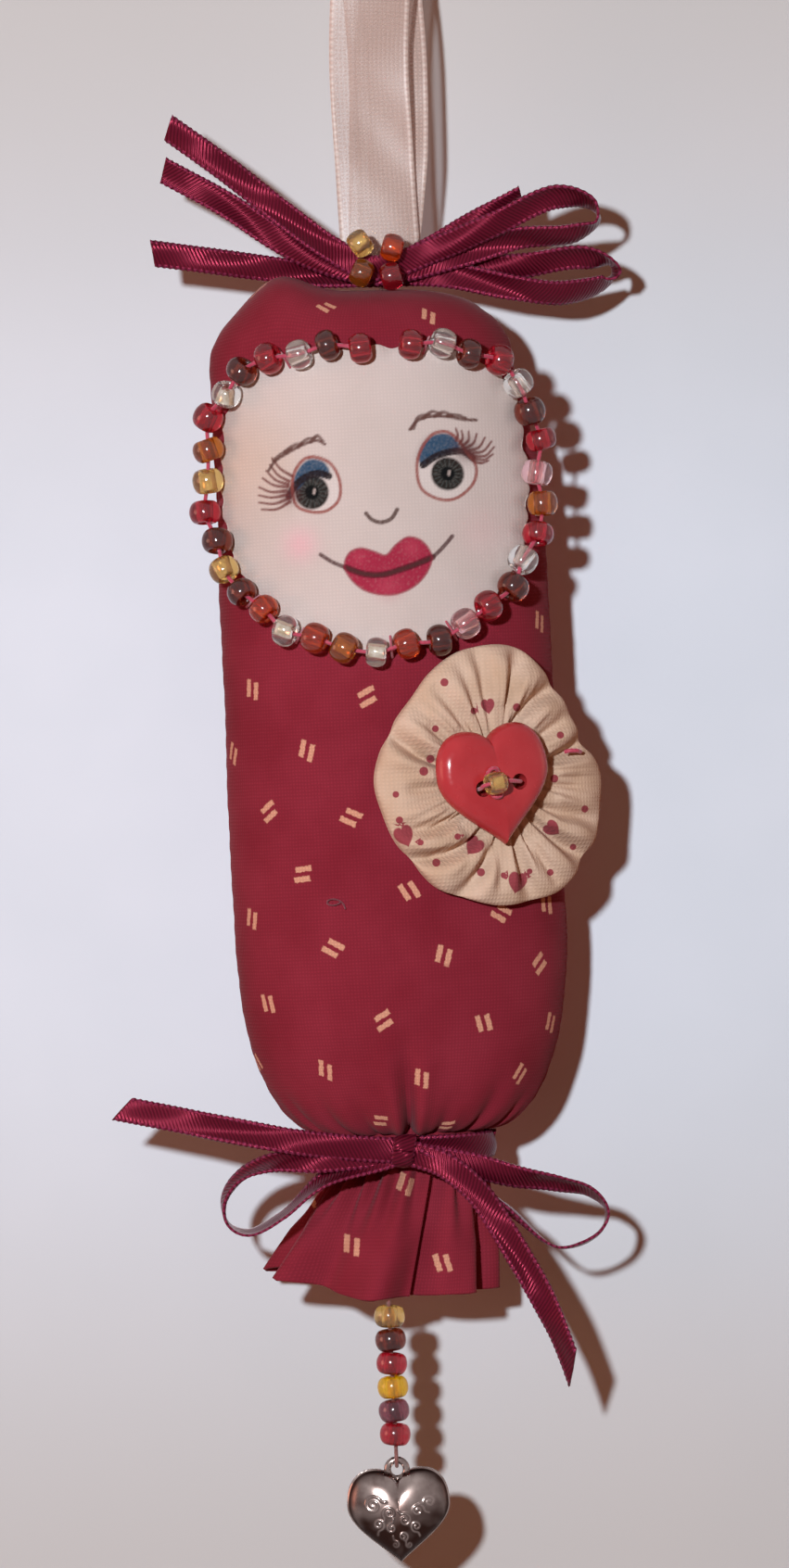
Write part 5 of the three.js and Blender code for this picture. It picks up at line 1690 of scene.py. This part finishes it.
# Lamps: place from the doll's middle, size, power and colour
LAMPS = {
    "key": (KEY_DISTANCE * KEY, 0.03, 4.7, "#EFF8FF"),
    "rear": (Vector((0, 0.85, 0.25)), 0.5, 4.5, "#FFFFFF"),
    "left": (Vector((-0.8, -0.25, 0.06)), 0.4, 1.5, "#FFB59A"),
    "right": (Vector((0.8, 0.1, 0.06)), 0.4, 0.4, "#FFC4AA"),
}
ROOM_GLOW = 0.18
WALL_HALF = 0.13
FLOOR_HALF = 1.2
FLOOR_EVEN = 0.8
PAINT = {"Roughness": 0.9, "Specular_IOR_Level": 0.2}


def plane(name, size, place, turn, material):
    bm = bmesh.new()
    spot = Matrix.Translation(place) @ Matrix.Rotation(turn, 4, "X")
    bmesh.ops.create_grid(bm, x_segments=1, y_segments=1, size=size, matrix=spot)
    mesh = mesh_of(bm, name)
    mesh.materials.append(material)
    obj = linked(name, mesh)
    obj.visible_diffuse = False
    return obj


def seen_directly(tree):
    """1 for rays from the camera and for those that gloss and glass send on."""
    path = add_node(tree, "ShaderNodeLightPath").outputs
    eye = maths(tree, "ADD", path["Is Camera Ray"], path["Is Glossy Ray"])
    return maths(tree, "ADD", eye, path["Is Transmission Ray"], use_clamp=True)


def shown(tree, output, share, first, second):
    """Shows a mix of two shaders."""
    both = add_node(tree, "ShaderNodeMixShader", {0: share, 1: first, 2: second}).outputs[0]
    tree.links.new(both, tree.nodes[output].inputs["Surface"])


def painted_wall():
    """Smooth painted wall: matt, faintly mottled, with painted shade of the light's falloff above and below.
    It is seen from the front only.
    """
    material, tree, shader = new_material("painted_wall", "#D9DCE6", **PAINT)
    place = add_node(tree, "ShaderNodeTexCoord").outputs["Object"]
    height = add_node(tree, "ShaderNodeSeparateXYZ", {0: place}).outputs["Z"]
    away = maths(tree, "ABSOLUTE", maths(tree, "ADD", height, -VIEW_CENTRE.z))
    # Painted shade: the wall is darker away from the doll's height, as if the light fell off there.
    painted_falloff = ranged(tree, away, 20 * MM, 110 * MM, interpolation_type="SMOOTHSTEP")
    wire(tree, shader, Base_Color=mixed(tree, painted_falloff, blotched(tree, "#D4DAE2", "#DADFE7", 30), "#C2C0BE"))
    behind = add_node(tree, "ShaderNodeNewGeometry").outputs["Backfacing"]
    gone = add_node(tree, "ShaderNodeBsdfTransparent").outputs[0]
    shown(tree, "Material Output", behind, shader.outputs[0], gone)
    return material


def painted_floor():
    """Pale painted floor, matt. It looks evenly pale, and keeps a share of its shading for the shadow."""
    material, tree, shader = new_material("painted_floor", "#E4E5EA", **PAINT)
    wire(tree, shader, Base_Color=blotched(tree, "#E1E2E8", "#E7E8EC", 60))
    even = add_node(tree, "ShaderNodeEmission", {"Color": linear("#DCDEE4"), "Strength": 1.0}).outputs[0]
    share = maths(tree, "MULTIPLY", seen_directly(tree), FLOOR_EVEN)
    shown(tree, "Material Output", share, shader.outputs[0], even)
    return material


def lamp(name, place, aim, size, power, colour):
    data = bpy.data.lights.new(name, "AREA")
    data.shape = "DISK"
    data.size = size
    data.energy = power
    data.color = linear(colour)[:3]
    turn = (aim - place).to_track_quat("-Z", "Y").to_matrix().to_4x4()
    linked(name, data).matrix_world = Matrix.Translation(place) @ turn


def make_stage():
    wall = plane("wall", WALL_HALF, (0, WALL_Y, VIEW_CENTRE.z), math.pi / 2, painted_wall())
    wall.visible_shadow = False
    plane("floor", FLOOR_HALF, (0, 0, FLOOR_Z), 0, painted_floor())
    aim = Vector((BODY_X * MM, 0, VIEW_CENTRE.z))
    for name, (away, *light) in LAMPS.items():
        lamp(name, aim + away, aim, *light)
    world = bpy.data.worlds.new("room")
    bpy.context.scene.world = world
    world.use_nodes = True
    tree = world.node_tree
    room = tree.nodes["Background"]
    room.inputs["Color"].default_value = linear("#FFA67E")
    room.inputs["Strength"].default_value = ROOM_GLOW
    pale = add_node(tree, "ShaderNodeBackground", {"Color": linear("#E4E6EC"), "Strength": 1.0}).outputs[0]
    shown(tree, "World Output", seen_directly(tree), room.outputs[0], pale)


make_stage()
